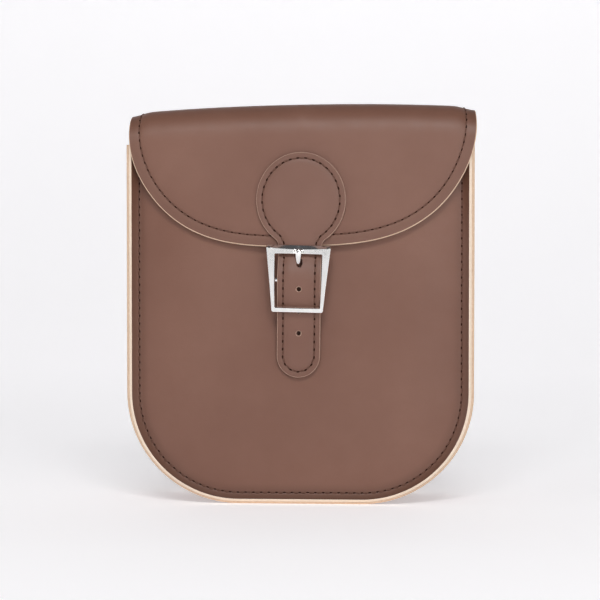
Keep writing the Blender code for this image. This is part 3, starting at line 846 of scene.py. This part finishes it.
def build_back():
    """The back panel, the roll behind the top and the rear half of the top, as one sheet."""
    total = -S_FLOOR
    outline, normal = outline_u(total)
    low = lowness(normal)
    angle = back_lean(low, outline[:, 1])
    insets, rises = seam_rows(low, angle)
    flat = fill_outline(outline, normal, insets, even_spine(outline, SPINE_LOW, total))
    slope = np.tan(angle) + 3 * BACK_DOME / DOME_REACH
    rows, rims = [], []
    for i, (x, h) in enumerate(zip(flat[..., 0], flat[..., 1])):
        t = u_distance(x, h) - seam_inset(low)
        sewn = back_recess(h) / BACK_DOME
        lift = valley(t, slope) * sewn + stitch_groove(t) * (1 - sewn)
        lift = lift - back_recess(h) * (1 - dome_share(t).clip(0, 1))
        if i < len(rises):
            lift = lift + rises[i]
        lift = lift + 0.25 * MM * np.sin(x * 41 + 2) * np.sin(h * 29) * ease(t / (30 * MM)) * sewn
        rows.append(raise_sheet(x, h - total, lift))
        rims.append(rim_shade(t) * (0.35 + 0.65 * sewn))
    grid = np.array(rows)
    piece = leather_sheet(
        "back_leather", grid, (0, 1, 0), LEATHER, SHEET_MATERIALS, folded=True, square_ends=True,
        rim=np.array(rims),
    )
    attach(piece, BACK_BEND, "leather", "back_panel", "flap_top")
    seam = grid[len(FLANGE_SHARES)]
    up = upright(outline[:, 1] - total, fold_s, FOLD_NORMAL)
    attach(stitches("back_seam_stitches", seam, up), BACK_BEND, "thread")


def flap_outline():
    """The flap's pattern: a superellipse below straight sides. Heights are -s."""
    angle = np.linspace(math.pi / 2, 0, 400)
    x = FLAP_HALF * np.cos(angle).clip(0) ** (2 / 3)
    z = FLAP_WIDEST_Z - (FLAP_WIDEST_Z - FLAP_BOTTOM_Z) * np.sin(angle) ** (2 / 1.95)
    s = s_of_front_z(z)
    up = np.linspace(0, 1, 40)[1:]
    sides = stacked(FLAP_HALF + (TOP_HALF - FLAP_HALF) * ease(up), -s[-1] * (1 - up))
    outline, normal = mirrored(np.concatenate([stacked(x, -s), sides]), 2.3 * MM)
    normal[0], normal[-1] = (1, 0), (-1, 0)
    return outline, normal


def build_flap():
    """The front half of the top, the front roll and the flap, as one sheet."""
    outline, normal = flap_outline()
    insets = [TOP_SEAM * (1 - share) for share in FLANGE_SHARES] + [TOP_SEAM + t for t in RING_T]
    flat = fill_outline(outline, normal, insets, even_spine(outline, -(S_FLAP_END - 46 * MM), 0))
    rows, rims = [], []
    for i, (x, h) in enumerate(zip(flat[..., 0], flat[..., 1])):
        inset = insets[i] if i < len(insets) else insets[-1] + 1
        t = np.full(len(x), inset - TOP_SEAM)
        hanging = ease(-h / (30 * MM))
        curl = 0.2 * MM * (1 - inset / (3.2 * MM)) ** 2 if inset < 3.2 * MM else 0
        rows.append(raise_sheet(x, -h, stitch_groove(t) + curl * hanging))
        rims.append(0.3 * rim_shade(t))
    grid = np.array(rows)
    piece = leather_sheet(
        "flap_leather", grid, (0, -1, 0), LEATHER, TAN_MATERIALS, folded=True, square_ends=True,
        slant=0.05 * MM, rim=np.array(rims),
    )
    attach(piece, FRONT_BEND, "leather", "flap_front")
    seam = grid[len(FLANGE_SHARES)]
    up = upright(-outline[:, 1], fold_s, FOLD_NORMAL)
    attach(stitches("flap_stitches", seam, up), FRONT_BEND, "thread")


# Keyhole patch and strap

EDGE_SLOT = 1
HOLE_SLOT = 3
BAR_Z = (FRAME_LOW.z + FRAME_HIGH.z) / 2 - 0.5 * MM
BAR_RADIUS = 1.2 * MM
BUCKLE_X = -0.3 * MM
BUCKLE_TURN = math.radians(-1.3)
FRAME_SETBACK = 4.0 * MM
FRAME_DEPTH = 2.4 * MM
FRAME_FRONT_Y = FRAME_LOW.y
BAR_Y = FRAME_FRONT_Y + FRAME_SETBACK
STRAP_HALF = STRAP_HIGH.x
PATCH_TOP_Z = PATCH_HIGH.z - 0.6 * MM
PATCH_HALF_WIDTH = PATCH_HIGH.x - 0.3 * MM
PATCH_HALF_HEIGHT = 27.8 * MM
PATCH_SHIFT = 1.3 * MM
STRAP_TILT = 0.0185
STRAP_INSETS = np.array([0, 0.6, 1.4, 2.2, 2.9, 3.4, 3.9, 4.7, 6.2]) * MM
STRAP_STITCH_ROW = 5
STRAP_STITCH_INSET = STRAP_INSETS[STRAP_STITCH_ROW]
HOLE_HEIGHTS = (127.3 * MM, 114.35 * MM, 101.4 * MM)
PRONG_HOLE_Z = 142.6 * MM


def strap_back_line():
    """(y, z) of the patch's and strap's back: on the flap, over its edge, over the bar, to the tip."""
    s = np.arange(s_of_front_z(PATCH_TOP_Z), s_of_front_z(FLAP_BOTTOM_Z + 2.5 * MM), 0.5 * MM)
    y, z = fold(s)
    behind = FRAME_FRONT_Y + FRAME_DEPTH + 0.6 * MM + LEATHER
    over_bar = BAR_Y - 2.7 * MM
    rest = PANEL_LOW.y - 1.6 * MM
    knots = [
        (y[-1] - 0.2 * MM, z[-1]),
        (behind + 0.45 * MM, 150.3 * MM),
        (behind + 0.6 * MM, 147.0 * MM),
        (over_bar + 0.9 * MM, 139.5 * MM),
        (over_bar, BAR_Z),
        (over_bar + 1.6 * MM, 124.5 * MM),
        (behind + 0.4 * MM, 118.0 * MM),
        (behind + 1.1 * MM, 113.0 * MM),
        (rest, 96.0 * MM),
        (rest + 0.6 * MM, STRAP_LOW.z),
    ]
    line = np.concatenate([stacked(y - 0.2 * MM, z)[:-1], spline(knots, 200)])
    return softened(line, 560, 1.0 * MM)


def offset_line(line, distance):
    """A line in (y, z) that runs downwards, moved forward square to itself."""
    along = unit(np.gradient(line, axis=0))
    return line + stacked(along[:, 1], -along[:, 0]) * distance


strap_front = offset_line(strap_back_line(), LEATHER)
strap_s = lengths(strap_front)
STRAP_LENGTH = strap_s[-1]
STRAP_NORMAL = unit(offset_line(strap_front, 1.0) - strap_front)


def strap_place(x, s, lift):
    """A point of the patch and strap, which sit a little askew and may reach past the line's ends."""
    s_moved = s + STRAP_TILT * x
    y, z = read_at(s_moved, strap_s, strap_front)
    z = z - np.minimum(s_moved, 0) - np.maximum(s_moved - STRAP_LENGTH, 0)
    ny, nz = read_at(s_moved, strap_s, STRAP_NORMAL)
    return stacked(x + strap_shift(s), y + ny * lift, z + nz * lift)


def strap_shift(s):
    return PATCH_SHIFT - STRAP_TILT * (s - PATCH_HALF_HEIGHT)


def strap_centre(z):
    """(x, y) of the middle of the strap's face at this height."""
    s = np.interp(-z, -strap_front[:, 1], strap_s)
    return strap_shift(s), np.interp(s, strap_s, strap_front[:, 0])


def keyhole_outline():
    """The patch's ellipse and the strap with its round tip, as a closed mirrored outline. Heights are -s."""
    half_width = PATCH_HALF_WIDTH
    neck = math.sqrt(1 - (STRAP_HALF / half_width) ** 2) * PATCH_HALF_HEIGHT
    tip = np.linspace(-math.pi / 2, 0, 40)
    start = -math.atan2(neck / PATCH_HALF_HEIGHT, STRAP_HALF / half_width)
    bow = np.linspace(start, math.pi / 2, 120)
    right = np.concatenate(
        [
            stacked(STRAP_HALF * np.cos(tip), STRAP_HALF - STRAP_LENGTH + STRAP_HALF * np.sin(tip)),
            stacked(half_width * np.cos(bow), PATCH_HALF_HEIGHT * (np.sin(bow) - 1)),
        ]
    )
    right = resample(right, 180)
    softer = soften(right, 1.8 * MM, lengths(right)[-1] / 179)
    near_neck = np.exp(-(((right[:, 1] + PATCH_HALF_HEIGHT + neck) / (7 * MM)) ** 2))[:, None]
    right = resample(right + (softer - right) * near_neck, 118)
    outline = np.concatenate([right, right[-2:0:-1] * [-1, 1]])
    along = np.roll(outline, -1, axis=0) - np.roll(outline, 1, axis=0)
    return outline, unit(stacked(-along[:, 1], along[:, 0]))


def keyhole_spine(outline):
    """Spine heights that stay level with the outline beside them, drawn in at the tip and the top."""
    half = len(outline) // 2
    right = outline[: half + 1]
    knots = np.array([-STRAP_LENGTH, STRAP_HALF - STRAP_LENGTH, -PATCH_HALF_HEIGHT, 0])
    wanted = np.array([10.5 * MM - STRAP_LENGTH, 15 * MM - STRAP_LENGTH, -30 * MM, -23 * MM])
    drift = 0.05 * lengths(right)
    heights = np.interp(right[:, 1], knots, wanted - np.interp(knots, right[:, 1], drift)) + drift
    return np.concatenate([heights, heights[-2:0:-1]])


CLOSURE_BEND = (
    "flap_front",
    "closure",
    (0, STRAP_LOW.y, FLAP_BOTTOM_Z + 4.5 * MM),
    (0, STRAP_LOW.y, FLAP_BOTTOM_Z - 3.0 * MM),
)


def revolve(buffer, profile, centre, axis, steps=36, slot=0):
    """Spin a profile of (radius, distance along the axis). Its ends lie on the axis, or meet."""
    axis = unit(np.array(axis, float))
    side = unit(np.cross(axis, (0.3, 0.5, 0.8)))
    other = np.cross(axis, side)
    angle = full_turn(steps)
    around = np.cos(angle)[:, None] * side + np.sin(angle)[:, None] * other
    points, rings = [], []
    for radius, height in profile:
        if radius < 1e-7:
            rings.append([len(points)])
            points.append(centre + axis * height)
        else:
            rings.append(list(range(len(points), len(points) + steps)))
            points += list(centre + axis * height + around * radius)
    faces = []
    for low, high in zip(rings, rings[1:]):
        for k in range(steps):
            m = (k + 1) % steps
            face = [low[k % len(low)], low[m % len(low)], high[m % len(high)], high[k % len(high)]]
            faces.append(list(dict.fromkeys(face)))
    buffer.add(points, faces, slot)


def cut(piece, buffer):
    """Take a closed shape out of the piece and keep the result as the piece's mesh."""
    cutter = fix_normals(buffer.to_object("cutter", PATCH_MATERIALS, smooth=False))
    modifier = piece.modifiers.new("Cut", "BOOLEAN")
    modifier.operation = "DIFFERENCE"
    modifier.solver = "EXACT"
    modifier.object = cutter
    graph = bpy.context.evaluated_depsgraph_get()
    result = bpy.data.meshes.new_from_object(piece.evaluated_get(graph))
    piece.modifiers.clear()
    piece.data = result
    bpy.data.objects.remove(cutter)
    result.set_sharp_from_angle(angle=math.radians(42))


def hole_punches(heights):
    """Punches with a small chamfer where they enter, on the strap's middle line. Their walls take a
    near-black brown: painted shade inside the holes.
    """
    radius, mouth, steps = 1.25 * MM, 1.9 * MM, 24
    back, front = -6 * MM, 3 * MM
    profile = [(0, back), (radius, back), (radius, -0.4 * MM), (mouth, 0.05 * MM), (mouth, front), (0, front)]
    buffer = Buffer()
    for z in heights:
        x, y = strap_centre(z)
        revolve(buffer, profile, np.array((x, y, z)), (0, -1, 0), steps=steps, slot=HOLE_SLOT)
        chamfer = len(buffer.slots) - 3 * steps
        buffer.slots[chamfer : chamfer + steps] = [EDGE_SLOT] * steps
    return buffer


def fix_normals(thing):
    bm = bmesh.new()
    bm.from_mesh(thing.data)
    bmesh.ops.recalc_face_normals(bm, faces=bm.faces)
    bm.to_mesh(thing.data)
    bm.free()
    return thing


def build_strap():
    outline, normal = keyhole_outline()
    insets = STRAP_INSETS
    flat = fill_outline(outline, normal, insets, keyhole_spine(outline), steps=7)
    rows, rims = [], []
    for i, (x, h) in enumerate(zip(flat[..., 0], flat[..., 1])):
        inset = insets[i] if i < len(insets) else insets[-1] + (i - len(insets) + 1) * MM
        t = np.full(len(x), inset - STRAP_STITCH_INSET)
        puff = 0.25 * MM * ease((inset - STRAP_STITCH_INSET) / (4 * MM))
        rows.append(strap_place(x, -h, 0.8 * stitch_groove(t) + puff))
        rims.append(0.3 * rim_shade(t))
    grid = np.array(rows)
    piece = leather_sheet(
        "closure_strap", grid, (0, -1, 0), LEATHER, PATCH_MATERIALS, folded=True, cyclic=True,
        slant=0.1 * MM, rim=np.array(rims),
    )
    line = np.concatenate([grid[STRAP_STITCH_ROW], grid[STRAP_STITCH_ROW, :1]])
    up = upright(np.concatenate([-outline[:, 1], -outline[:1, 1]]), strap_s, STRAP_NORMAL)
    cut(piece, hole_punches(HOLE_HEIGHTS))
    slot = Buffer()
    x, y = strap_centre(PRONG_HOLE_Z)
    ends = [(x, y - 5 * MM, PRONG_HOLE_Z + 2.5 * MM), (x, y + 6 * MM, PRONG_HOLE_Z - 3.0 * MM)]
    tube(slot, ends, 1.9 * MM, (0, 0, 1), sides=20, flatness=1.6)
    cut(piece, slot)
    attach(piece, CLOSURE_BEND, "strap_leather", "closure_patch", "strap_tail")
    run = stitches("strap_stitches", line, up, radius=0.36 * MM, closed=True)
    attach(run, CLOSURE_BEND, "thread")


# Small leather parts


def strip_sheet(name, line, half_width, thickness, outward, materials, place, corner=0.0):
    """A narrow strap along a line. place(across, line) gives 3-D points, and corner rounds its ends."""
    along = lengths(line)
    to_end = np.minimum(along, along[-1] - along)
    narrow = np.zeros(len(line))
    if corner:
        depth = np.clip(corner - to_end, 0, corner)
        narrow = corner - np.sqrt(np.maximum(corner**2 - depth**2, 0))
    shares = np.array([-1, -0.93, -0.8, -0.55, -0.25, 0, 0.25, 0.55, 0.8, 0.93, 1])
    grid = np.array([place(share * (half_width - narrow), line) for share in shares])
    rim = np.broadcast_to((np.abs(shares) ** 6 * 0.5)[:, None], grid.shape[:2])
    return leather_sheet(name, grid, outward, thickness, materials, rim=rim)


def build_chape():
    """The short strap that holds the buckle, folded round its bar, with a gap for the prong."""
    thickness = 1.0 * MM
    back_leg = BAR_Y + 2.8 * MM
    front_leg = back_leg - 2 * thickness - 0.3 * MM
    low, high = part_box("chape")
    line = np.concatenate(
        [
            [(back_leg, low.z)],
            arc_points((BAR_Y, BAR_Z), 2.4 * MM, math.pi, -0.5, 40),
            [(front_leg, BAR_Z - 6.8 * MM), (front_leg, BAR_Z - 12 * MM)],
        ]
    )
    line = softened(line, 90, 0.5 * MM)

    def place(across, path):
        return stacked(across + BUCKLE_X, path[:, 0], path[:, 1])

    piece = strip_sheet("buckle_chape", line, high.x, thickness, (0, 0, 1), PATCH_MATERIALS, place)
    gap = Buffer()
    ends = [(BUCKLE_X, BAR_Y, BAR_Z - 3.2 * MM), (BUCKLE_X, BAR_Y, BAR_Z + 4.4 * MM)]
    tube(gap, ends, 3.4 * MM, (0, 1, 0), sides=4, flatness=1.7)
    cut(piece, gap)
    attach(piece, "closure", "strap_leather", "chape")


TAB_LEATHER = 1.4 * MM
WEB_X = GUSSET_HIGH.x - 8 * MM
BODY_Y = 8.8 * MM
RING_Z = 205 * MM
RING_OUT = 3.3 * MM
RING_WIRE = 1.3 * MM
RIVET_Z = 182.5 * MM


def build_tab(side, word):
    low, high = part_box("d_ring_tab_" + word)
    inner, outer = 0.3 * MM, 3.4 * MM
    line = np.concatenate(
        [
            [(-inner, low.z), (-inner, RING_Z - 8 * MM)],
            arc_points((-RING_OUT, RING_Z), 2.9 * MM, math.pi, 0, 40),
            [(-outer - 0.4 * MM, RING_Z - 6 * MM), (-outer, RING_Z - 8 * MM), (-outer, low.z)],
        ]
    )
    line = softened(line, 110, 0.7 * MM)

    def place(across, path):
        return stacked(side * (WEB_X - path[:, 0]), BODY_Y + across, path[:, 1])

    half = (high.y - low.y) / 2
    piece = strip_sheet(
        "ring_tab_" + word, line, half, TAB_LEATHER, (0, 0, 1), PATCH_MATERIALS, place, corner=4 * MM
    )
    attach(piece, "bag_body", "strap_leather", "d_ring_tab_" + word)


# Metal parts


def metal_piece(buffer, name, sharp=35):
    thing = fix_normals(buffer.to_object(name, [nickel]))
    thing.data.set_sharp_from_angle(angle=math.radians(sharp))
    return thing


def build_rivet(side, word):
    """A domed cap outside the tab, its post, and a flatter cap inside the gusset."""
    outer = 3.7 * MM
    inner = -GUSSET_LEATHER - 0.3 * MM
    head, post = 4.0 * MM, 1.5 * MM
    rim = head - 0.15 * MM
    turn = np.linspace(0, 1.5, 9)
    dome = [(head * math.sin(a), outer + 0.35 * MM + 0.75 * MM * math.cos(a)) for a in turn]
    back = [(head * math.sin(a), inner - 0.2 * MM - 0.5 * MM * math.cos(a)) for a in turn[::-1]]
    profile = dome + [(head, outer + 0.2 * MM), (rim, outer), (post, outer)]
    profile += [(post, inner), (rim, inner)] + back
    buffer = Buffer()
    revolve(buffer, profile, np.array((side * WEB_X, BODY_Y, RIVET_Z)), (side, 0, 0), steps=48)
    piece = metal_piece(buffer, "rivet_" + word)
    attach(piece, "bag_body", "nickel", "tab_rivet_" + word)


def build_d_ring(side, word):
    """A D of round wire that hangs from its straight bar."""
    low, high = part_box("d_ring_" + word)
    half = (high.y - low.y) / 2 - RING_WIRE
    arm, drop, corner = 8.0 * MM, 14.4 * MM, 1.8 * MM
    turn = np.linspace(0, math.pi / 2, 8)
    right = [(half - corner + corner * math.sin(a), -corner + corner * math.cos(a)) for a in turn]
    bow = [(half * math.cos(a), -arm - (drop - arm) * math.sin(a)) for a in np.linspace(0, math.pi, 48)]
    left = [(-y, z) for y, z in reversed(right)]
    loop = np.array(right + bow + left + [right[0]])
    loop = resample(loop, 121)[:-1]
    lean = math.asin(1.7 / 9.5)
    out = RING_OUT - loop[:, 1] * math.sin(lean)
    path = stacked(side * (WEB_X + out), BODY_Y + loop[:, 0], RING_Z + loop[:, 1] * math.cos(lean))
    buffer = Buffer()
    tube(buffer, path, RING_WIRE, (side, 0, 0), sides=18, closed=True)
    piece = metal_piece(buffer, "ring_" + word, sharp=60)
    attach(piece, "d_ring_" + word, "nickel", "d_ring_" + word)


def turned_with_buckle(points):
    """The buckle sits a little askew on the strap."""
    points = np.asarray(points, float)
    x, z = points[:, 0], points[:, 2] - BAR_Z
    c, s = math.cos(BUCKLE_TURN), math.sin(BUCKLE_TURN)
    return stacked(BUCKLE_X + x * c - z * s, points[:, 1], BAR_Z + x * s + z * c)


NOTCH_RADIUS = 5.0 * MM
NOTCH_SETBACK = 4.1 * MM
BAR_HALF = 16.4 * MM
LUG_X = 15.4 * MM
LUG_RADIUS = 1.1 * MM
TOP_SIDE = 2  # the upper bar has evenly spaced points, because the prong's notch is cut there


def trapezoid_loop(top, bottom, low, high, radius, counts):
    """(x, z) round a trapezoid with rounded corners: along the bottom, up, along the top, down."""
    corners = [(-bottom / 2, low), (bottom / 2, low), (top / 2, high), (-top / 2, high)]
    lifts = (radius, radius, -radius, -radius)
    centres = [(x - math.copysign(radius, x), z + lift) for (x, z), lift in zip(corners, lifts)]
    loop = []
    for i in range(4):
        shares = np.linspace(0, 1, counts[i])
        if i != TOP_SIDE:
            shares = (1 - np.cos(np.linspace(0, math.pi, counts[i]))) / 2
        x0, z0 = centres[i]
        x1, z1 = centres[(i + 1) % 4]
        outward = math.atan2(z1 - z0, x1 - x0) - math.pi / 2
        dx, dz = radius * math.cos(outward), radius * math.sin(outward)
        for t in shares:
            loop.append((x0 + (x1 - x0) * t + dx, z0 + (z1 - z0) * t + dz))
        x2, z2 = centres[(i + 2) % 4]
        following = math.atan2(z2 - z1, x2 - x1) - math.pi / 2
        if following < outward:
            following += 2 * math.pi
        for t in (0.25, 0.5, 0.75):
            angle = outward + (following - outward) * t
            loop.append((x1 + radius * math.cos(angle), z1 + radius * math.sin(angle)))
    return np.array(loop)


def rounded_section(points, radius):
    """A closed polygon with each corner replaced by three points."""
    made = []
    count = len(points)
    for i in range(count):
        before, here, after = points[i - 1], points[i], points[(i + 1) % count]
        first, second = before - here, after - here
        near = here + first * min(0.45, radius / max(np.linalg.norm(first), 1e-9))
        far = here + second * min(0.45, radius / max(np.linalg.norm(second), 1e-9))
        made += [near, here * 0.5 + (near + far) * 0.25, far]
    return made


def build_buckle_frame():
    """A cast trapezoid: wide flat faces, a broad bevel on the upper bar, and a bar set back on two lugs."""
    counts = (41, 41, 141, 41)
    low, top = FRAME_LOW.z, FRAME_HIGH.z + 0.4 * MM
    inner_low, inner_top = low + 3.6 * MM, FRAME_HIGH.z - 4.8 * MM
    outer = trapezoid_loop(37.9 * MM, 30.3 * MM, low, top, 1.2 * MM, counts)
    inner = trapezoid_loop(27.3 * MM, 26.2 * MM, inner_low, inner_top, 0.7 * MM, counts)
    on_top = ease((outer[:, 1] - (top - 1.1 * MM)) / (0.9 * MM))
    on_bottom = 1 - ease((outer[:, 1] - low) / (0.9 * MM))
    points = []
    for k, (o, i) in enumerate(zip(outer, inner)):
        width = np.linalg.norm(i - o)
        bevel_out = (0.32 + 1.98 * on_top[k]) * MM
        drop_out = (1.0 + 1.1 * on_top[k]) * MM
        bevel_in = (0.35 + 0.65 * on_bottom[k]) * MM
        drop_in = (1.0 + 0.5 * on_bottom[k]) * MM
        back, edge = FRAME_DEPTH, 0.25 * MM
        section = [
            (0, back - 0.2 * MM), (0, drop_out), (bevel_out, 0), (width * 0.62, 0), (width - bevel_in, 0),
            (width, drop_in), (width, back - edge), (width - edge, back), (edge, back),
        ]
        section = rounded_section([np.array(p) for p in section], 0.16 * MM)
        for across, depth in section:
            x, z = o + (i - o) * across / width
            if on_top[k] > 0.99 and depth < 1.6 * MM:
                reach = NOTCH_RADIUS**2 - x * x
                notch = math.sqrt(reach) - NOTCH_SETBACK if reach > 0 else 0
                depth = max(depth, notch)
            points.append((x, FRAME_FRONT_Y + depth, z))
    buffer = Buffer()
    buffer.add(turned_with_buckle(points), ring_faces(len(outer), len(section), closed=True))
    path = turned_with_buckle([(x, BAR_Y, BAR_Z) for x in (-BAR_HALF, 0, BAR_HALF)])
    tube(buffer, path, BAR_RADIUS, (0, 0, 1), sides=20)
    for side in (-1, 1):
        ends = [(side * LUG_X, y, BAR_Z) for y in (FRAME_FRONT_Y + 1.6 * MM, BAR_Y + 0.9 * MM)]
        tube(buffer, turned_with_buckle(ends), LUG_RADIUS, (0, 0, 1), sides=20)
    piece = metal_piece(buffer, "buckle", sharp=10)
    attach(piece, "buckle_frame", "nickel", "buckle_frame")


def build_prong():
    """An eye round the bar and a flattened tongue that rests in the upper bar's notch."""
    rest = FRAME_FRONT_Y - 0.35 * MM
    knots = [
        (BAR_Y + 0.2 * MM, BAR_Z + 2.0 * MM),
        (BAR_Y + 0.1 * MM, BAR_Z + 4.3 * MM),
        (BAR_Y - 0.9 * MM, BAR_Z + 7.0 * MM),
        (BAR_Y - 3.1 * MM, BAR_Z + 10.3 * MM),
        (rest + 0.2 * MM, BAR_Z + 13.4 * MM),
        (rest, BAR_Z + 16.0 * MM),
        (rest + 0.05 * MM, BAR_Z + 18.3 * MM),
    ]
    line = resample(spline(knots, 200), 56)
    z = line[:, 1] - BAR_Z
    heights = np.array([0, 8.8, 11, 13.6, 16, 18.4]) * MM
    radii = np.interp(z, heights, np.array([1, 0.95, 1.3, 1.6, 1.8, 1.7]) * MM)
    radii = radii * np.sqrt(np.clip(1 - ((z - 16.9 * MM) / (1.45 * MM)).clip(0) ** 2, 0.02, 1))  # a round tip
    path = turned_with_buckle(stacked(np.zeros(len(line)), line[:, 0], line[:, 1]))
    buffer = Buffer()
    tube(buffer, path, radii, (0, -1, 0.3), sides=24, flatness=0.6)
    eye = [(1.4, 1.6), (1.4, -1.6), (1.6, -1.8), (2.1, -1.8), (2.3, -1.6)]
    eye += [(2.3, 1.6), (2.1, 1.8), (1.6, 1.8), (1.4, 1.6)]
    centre = turned_with_buckle([(0, BAR_Y, BAR_Z)])[0]
    revolve(buffer, [(r * MM, h * MM) for r, h in eye], centre, (1, 0, 0), steps=32)
    piece = metal_piece(buffer, "prong", sharp=50)
    attach(piece, "buckle_prong", "nickel", "buckle_prong")


def build_snap():
    """The hidden snap: a fixed cup riveted through the panel with its washer, and a stud on the chape."""
    base_low, base_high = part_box("snap_base")
    washer_low, washer_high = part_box("snap_base_washer")
    stud_low, stud_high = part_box("snap_stud")
    centre = np.array((0, 0, (base_low.z + base_high.z) / 2))
    post = 2.0 * MM
    edge = 0.3 * MM

    def turned(name, body, profile, *nodes):
        buffer = Buffer()
        revolve(buffer, profile, centre, (0, -1, 0), steps=56)
        piece = metal_piece(buffer, name)
        attach(piece, body, "nickel", *nodes)

    front, back, radius = -base_low.y, -base_high.y, base_high.x
    shoulder = front - 1.4 * MM
    turned(
        "snap_cup", "bag_body",
        [
            (0, back), (post, back), (post, shoulder), (radius - edge, shoulder), (radius, shoulder + edge),
            (radius, front - edge), (radius - edge, front), (radius - 1.2 * MM, front),
            (radius - 1.5 * MM, front - edge), (0, front - edge),
        ],
        "snap_base",
    )
    front, back, radius = -washer_low.y, -washer_high.y, washer_high.x
    ring = [
        (post + edge, back), (radius - edge, back), (radius, back + edge / 2), (radius, front),
        (post + edge, front), (post + edge, back),
    ]
    turned("snap_washer", "bag_body", ring, "snap_base_washer")
    front, back, radius = -stud_low.y, -stud_high.y, stud_high.x
    shoulder = back + 1.5 * MM
    turned(
        "snap_stud_turned", "closure",
        [
            (0, back + edge), (radius - 1.4 * MM, back + edge), (radius - 1.1 * MM, back),
            (radius - edge, back), (radius, back + edge), (radius, shoulder - edge),
            (radius - edge, shoulder), (post, shoulder), (post, front), (0, front),
        ],
        "snap_stud",
    )


build_front_panel()
build_gusset()
build_back()
build_flap()
build_strap()
build_chape()
build_buckle_frame()
build_prong()
build_snap()
for hand, label in ((-1, "left"), (1, "right")):
    build_tab(hand, label)
    build_rivet(hand, label)
    build_d_ring(hand, label)

# Stage, lights and camera


def coordinate(tree, space, axis):
    place = add_node(tree, "ShaderNodeTexCoord")
    split = add_node(tree, "ShaderNodeSeparateXYZ")
    tree.links.new(place.outputs[space], split.inputs["Vector"])
    return split.outputs[axis]


def build_stage():
    """A sheet of pale paper that glows a little and curves up behind the bag."""
    profile = [(-9.0, 0.0), (1.1, 0.0)]
    angle = np.linspace(0, math.pi / 2, 16)
    profile += [(1.1 + 0.9 * math.sin(a), 0.9 - 0.9 * math.cos(a)) for a in angle[1:]]
    profile += [(2.0, 1.6)]
    buffer = Buffer()
    points = [(x, y, z) for y, z in profile for x in (-9.0, 9.0)]
    faces = [[2 * i, 2 * i + 1, 2 * i + 3, 2 * i + 2] for i in range(len(profile) - 1)]
    buffer.add(points, faces)
    material, tree, shader = shader_tree("studio_paper", Roughness=0.9)
    paper = ranged(tree, object_noise(tree, 3, 2), 0, 1)
    coloured(tree, shader, paper, (0.925, 0.915, 0.93), (0.94, 0.93, 0.945))
    glow = ranged(tree, coordinate(tree, "Object", "Y"), 0.37, 0.28, 0.2, 1.9)
    tree.links.new(glow, shader.inputs["Emission Strength"])
    shader.inputs["Emission Color"].default_value = (1, 0.99, 1, 1)
    buffer.to_object("studio_sweep", [material])


def aimed(thing, place, aim):
    """Put a light or a camera at a place, pointing at another."""
    thing.location = place
    thing.rotation_euler = (Vector(aim) - Vector(place)).to_track_quat("-Z", "Y").to_euler()


def area_light(name, place, aim, size, power):
    light = bpy.data.lights.new(name, "AREA")
    light.shape = "RECTANGLE"
    light.size, light.size_y = size
    light.energy = power
    aimed(new_object(name, light), place, aim)


def build_lights():
    area_light("key", (0.1, -1.6, 1.4), (0, 0, 0.13), (1.0, 0.6), 17.5)
    area_light("sheen", (0.7, -1.35, 0.45), (0.1, 0, 0.18), (0.7, 0.6), 3.6)
    area_light("fill", (-1.6, -0.4, 0.3), (0, 0, 0.10), (0.9, 0.7), 5)
    area_light("side", (1.5, -0.45, 0.2), (0, 0, 0.06), (0.7, 0.4), 1.2)
    area_light("backdrop", (0, 0.9, 1.6), (0, 2.2, 0.4), (2.6, 0.8), 8)
    area_light("card", (-0.1, -1.9, 0.10), (0, 0, 0.13), (0.8, 0.36), 0.4)
    world = bpy.data.worlds.new("studio")
    bpy.context.scene.world = world
    world.use_nodes = True
    tree = world.node_tree
    upward = ranged(tree, coordinate(tree, "Generated", "Z"), 0, 1, 0.1, 0.7)
    walls_and_ceiling = mixed(tree, upward, (0.28, 0.28, 0.29), (0.08, 0.08, 0.085))
    tree.links.new(walls_and_ceiling, tree.nodes["Background"].inputs["Color"])
    tree.nodes["Background"].inputs["Strength"].default_value = 1.0


def build_camera():
    camera = new_object("camera", bpy.data.cameras.new("camera"))
    aimed(camera, (0.07, -1.2, 0.160), (0, -0.02, 0.1205))
    camera.data.lens = 120.4
    camera.data.sensor_width = 36
    bpy.context.scene.camera = camera
    view = bpy.context.scene.view_settings
    view.view_transform = "Standard"
    view.look = "None"


build_stage()
build_lights()
build_camera()
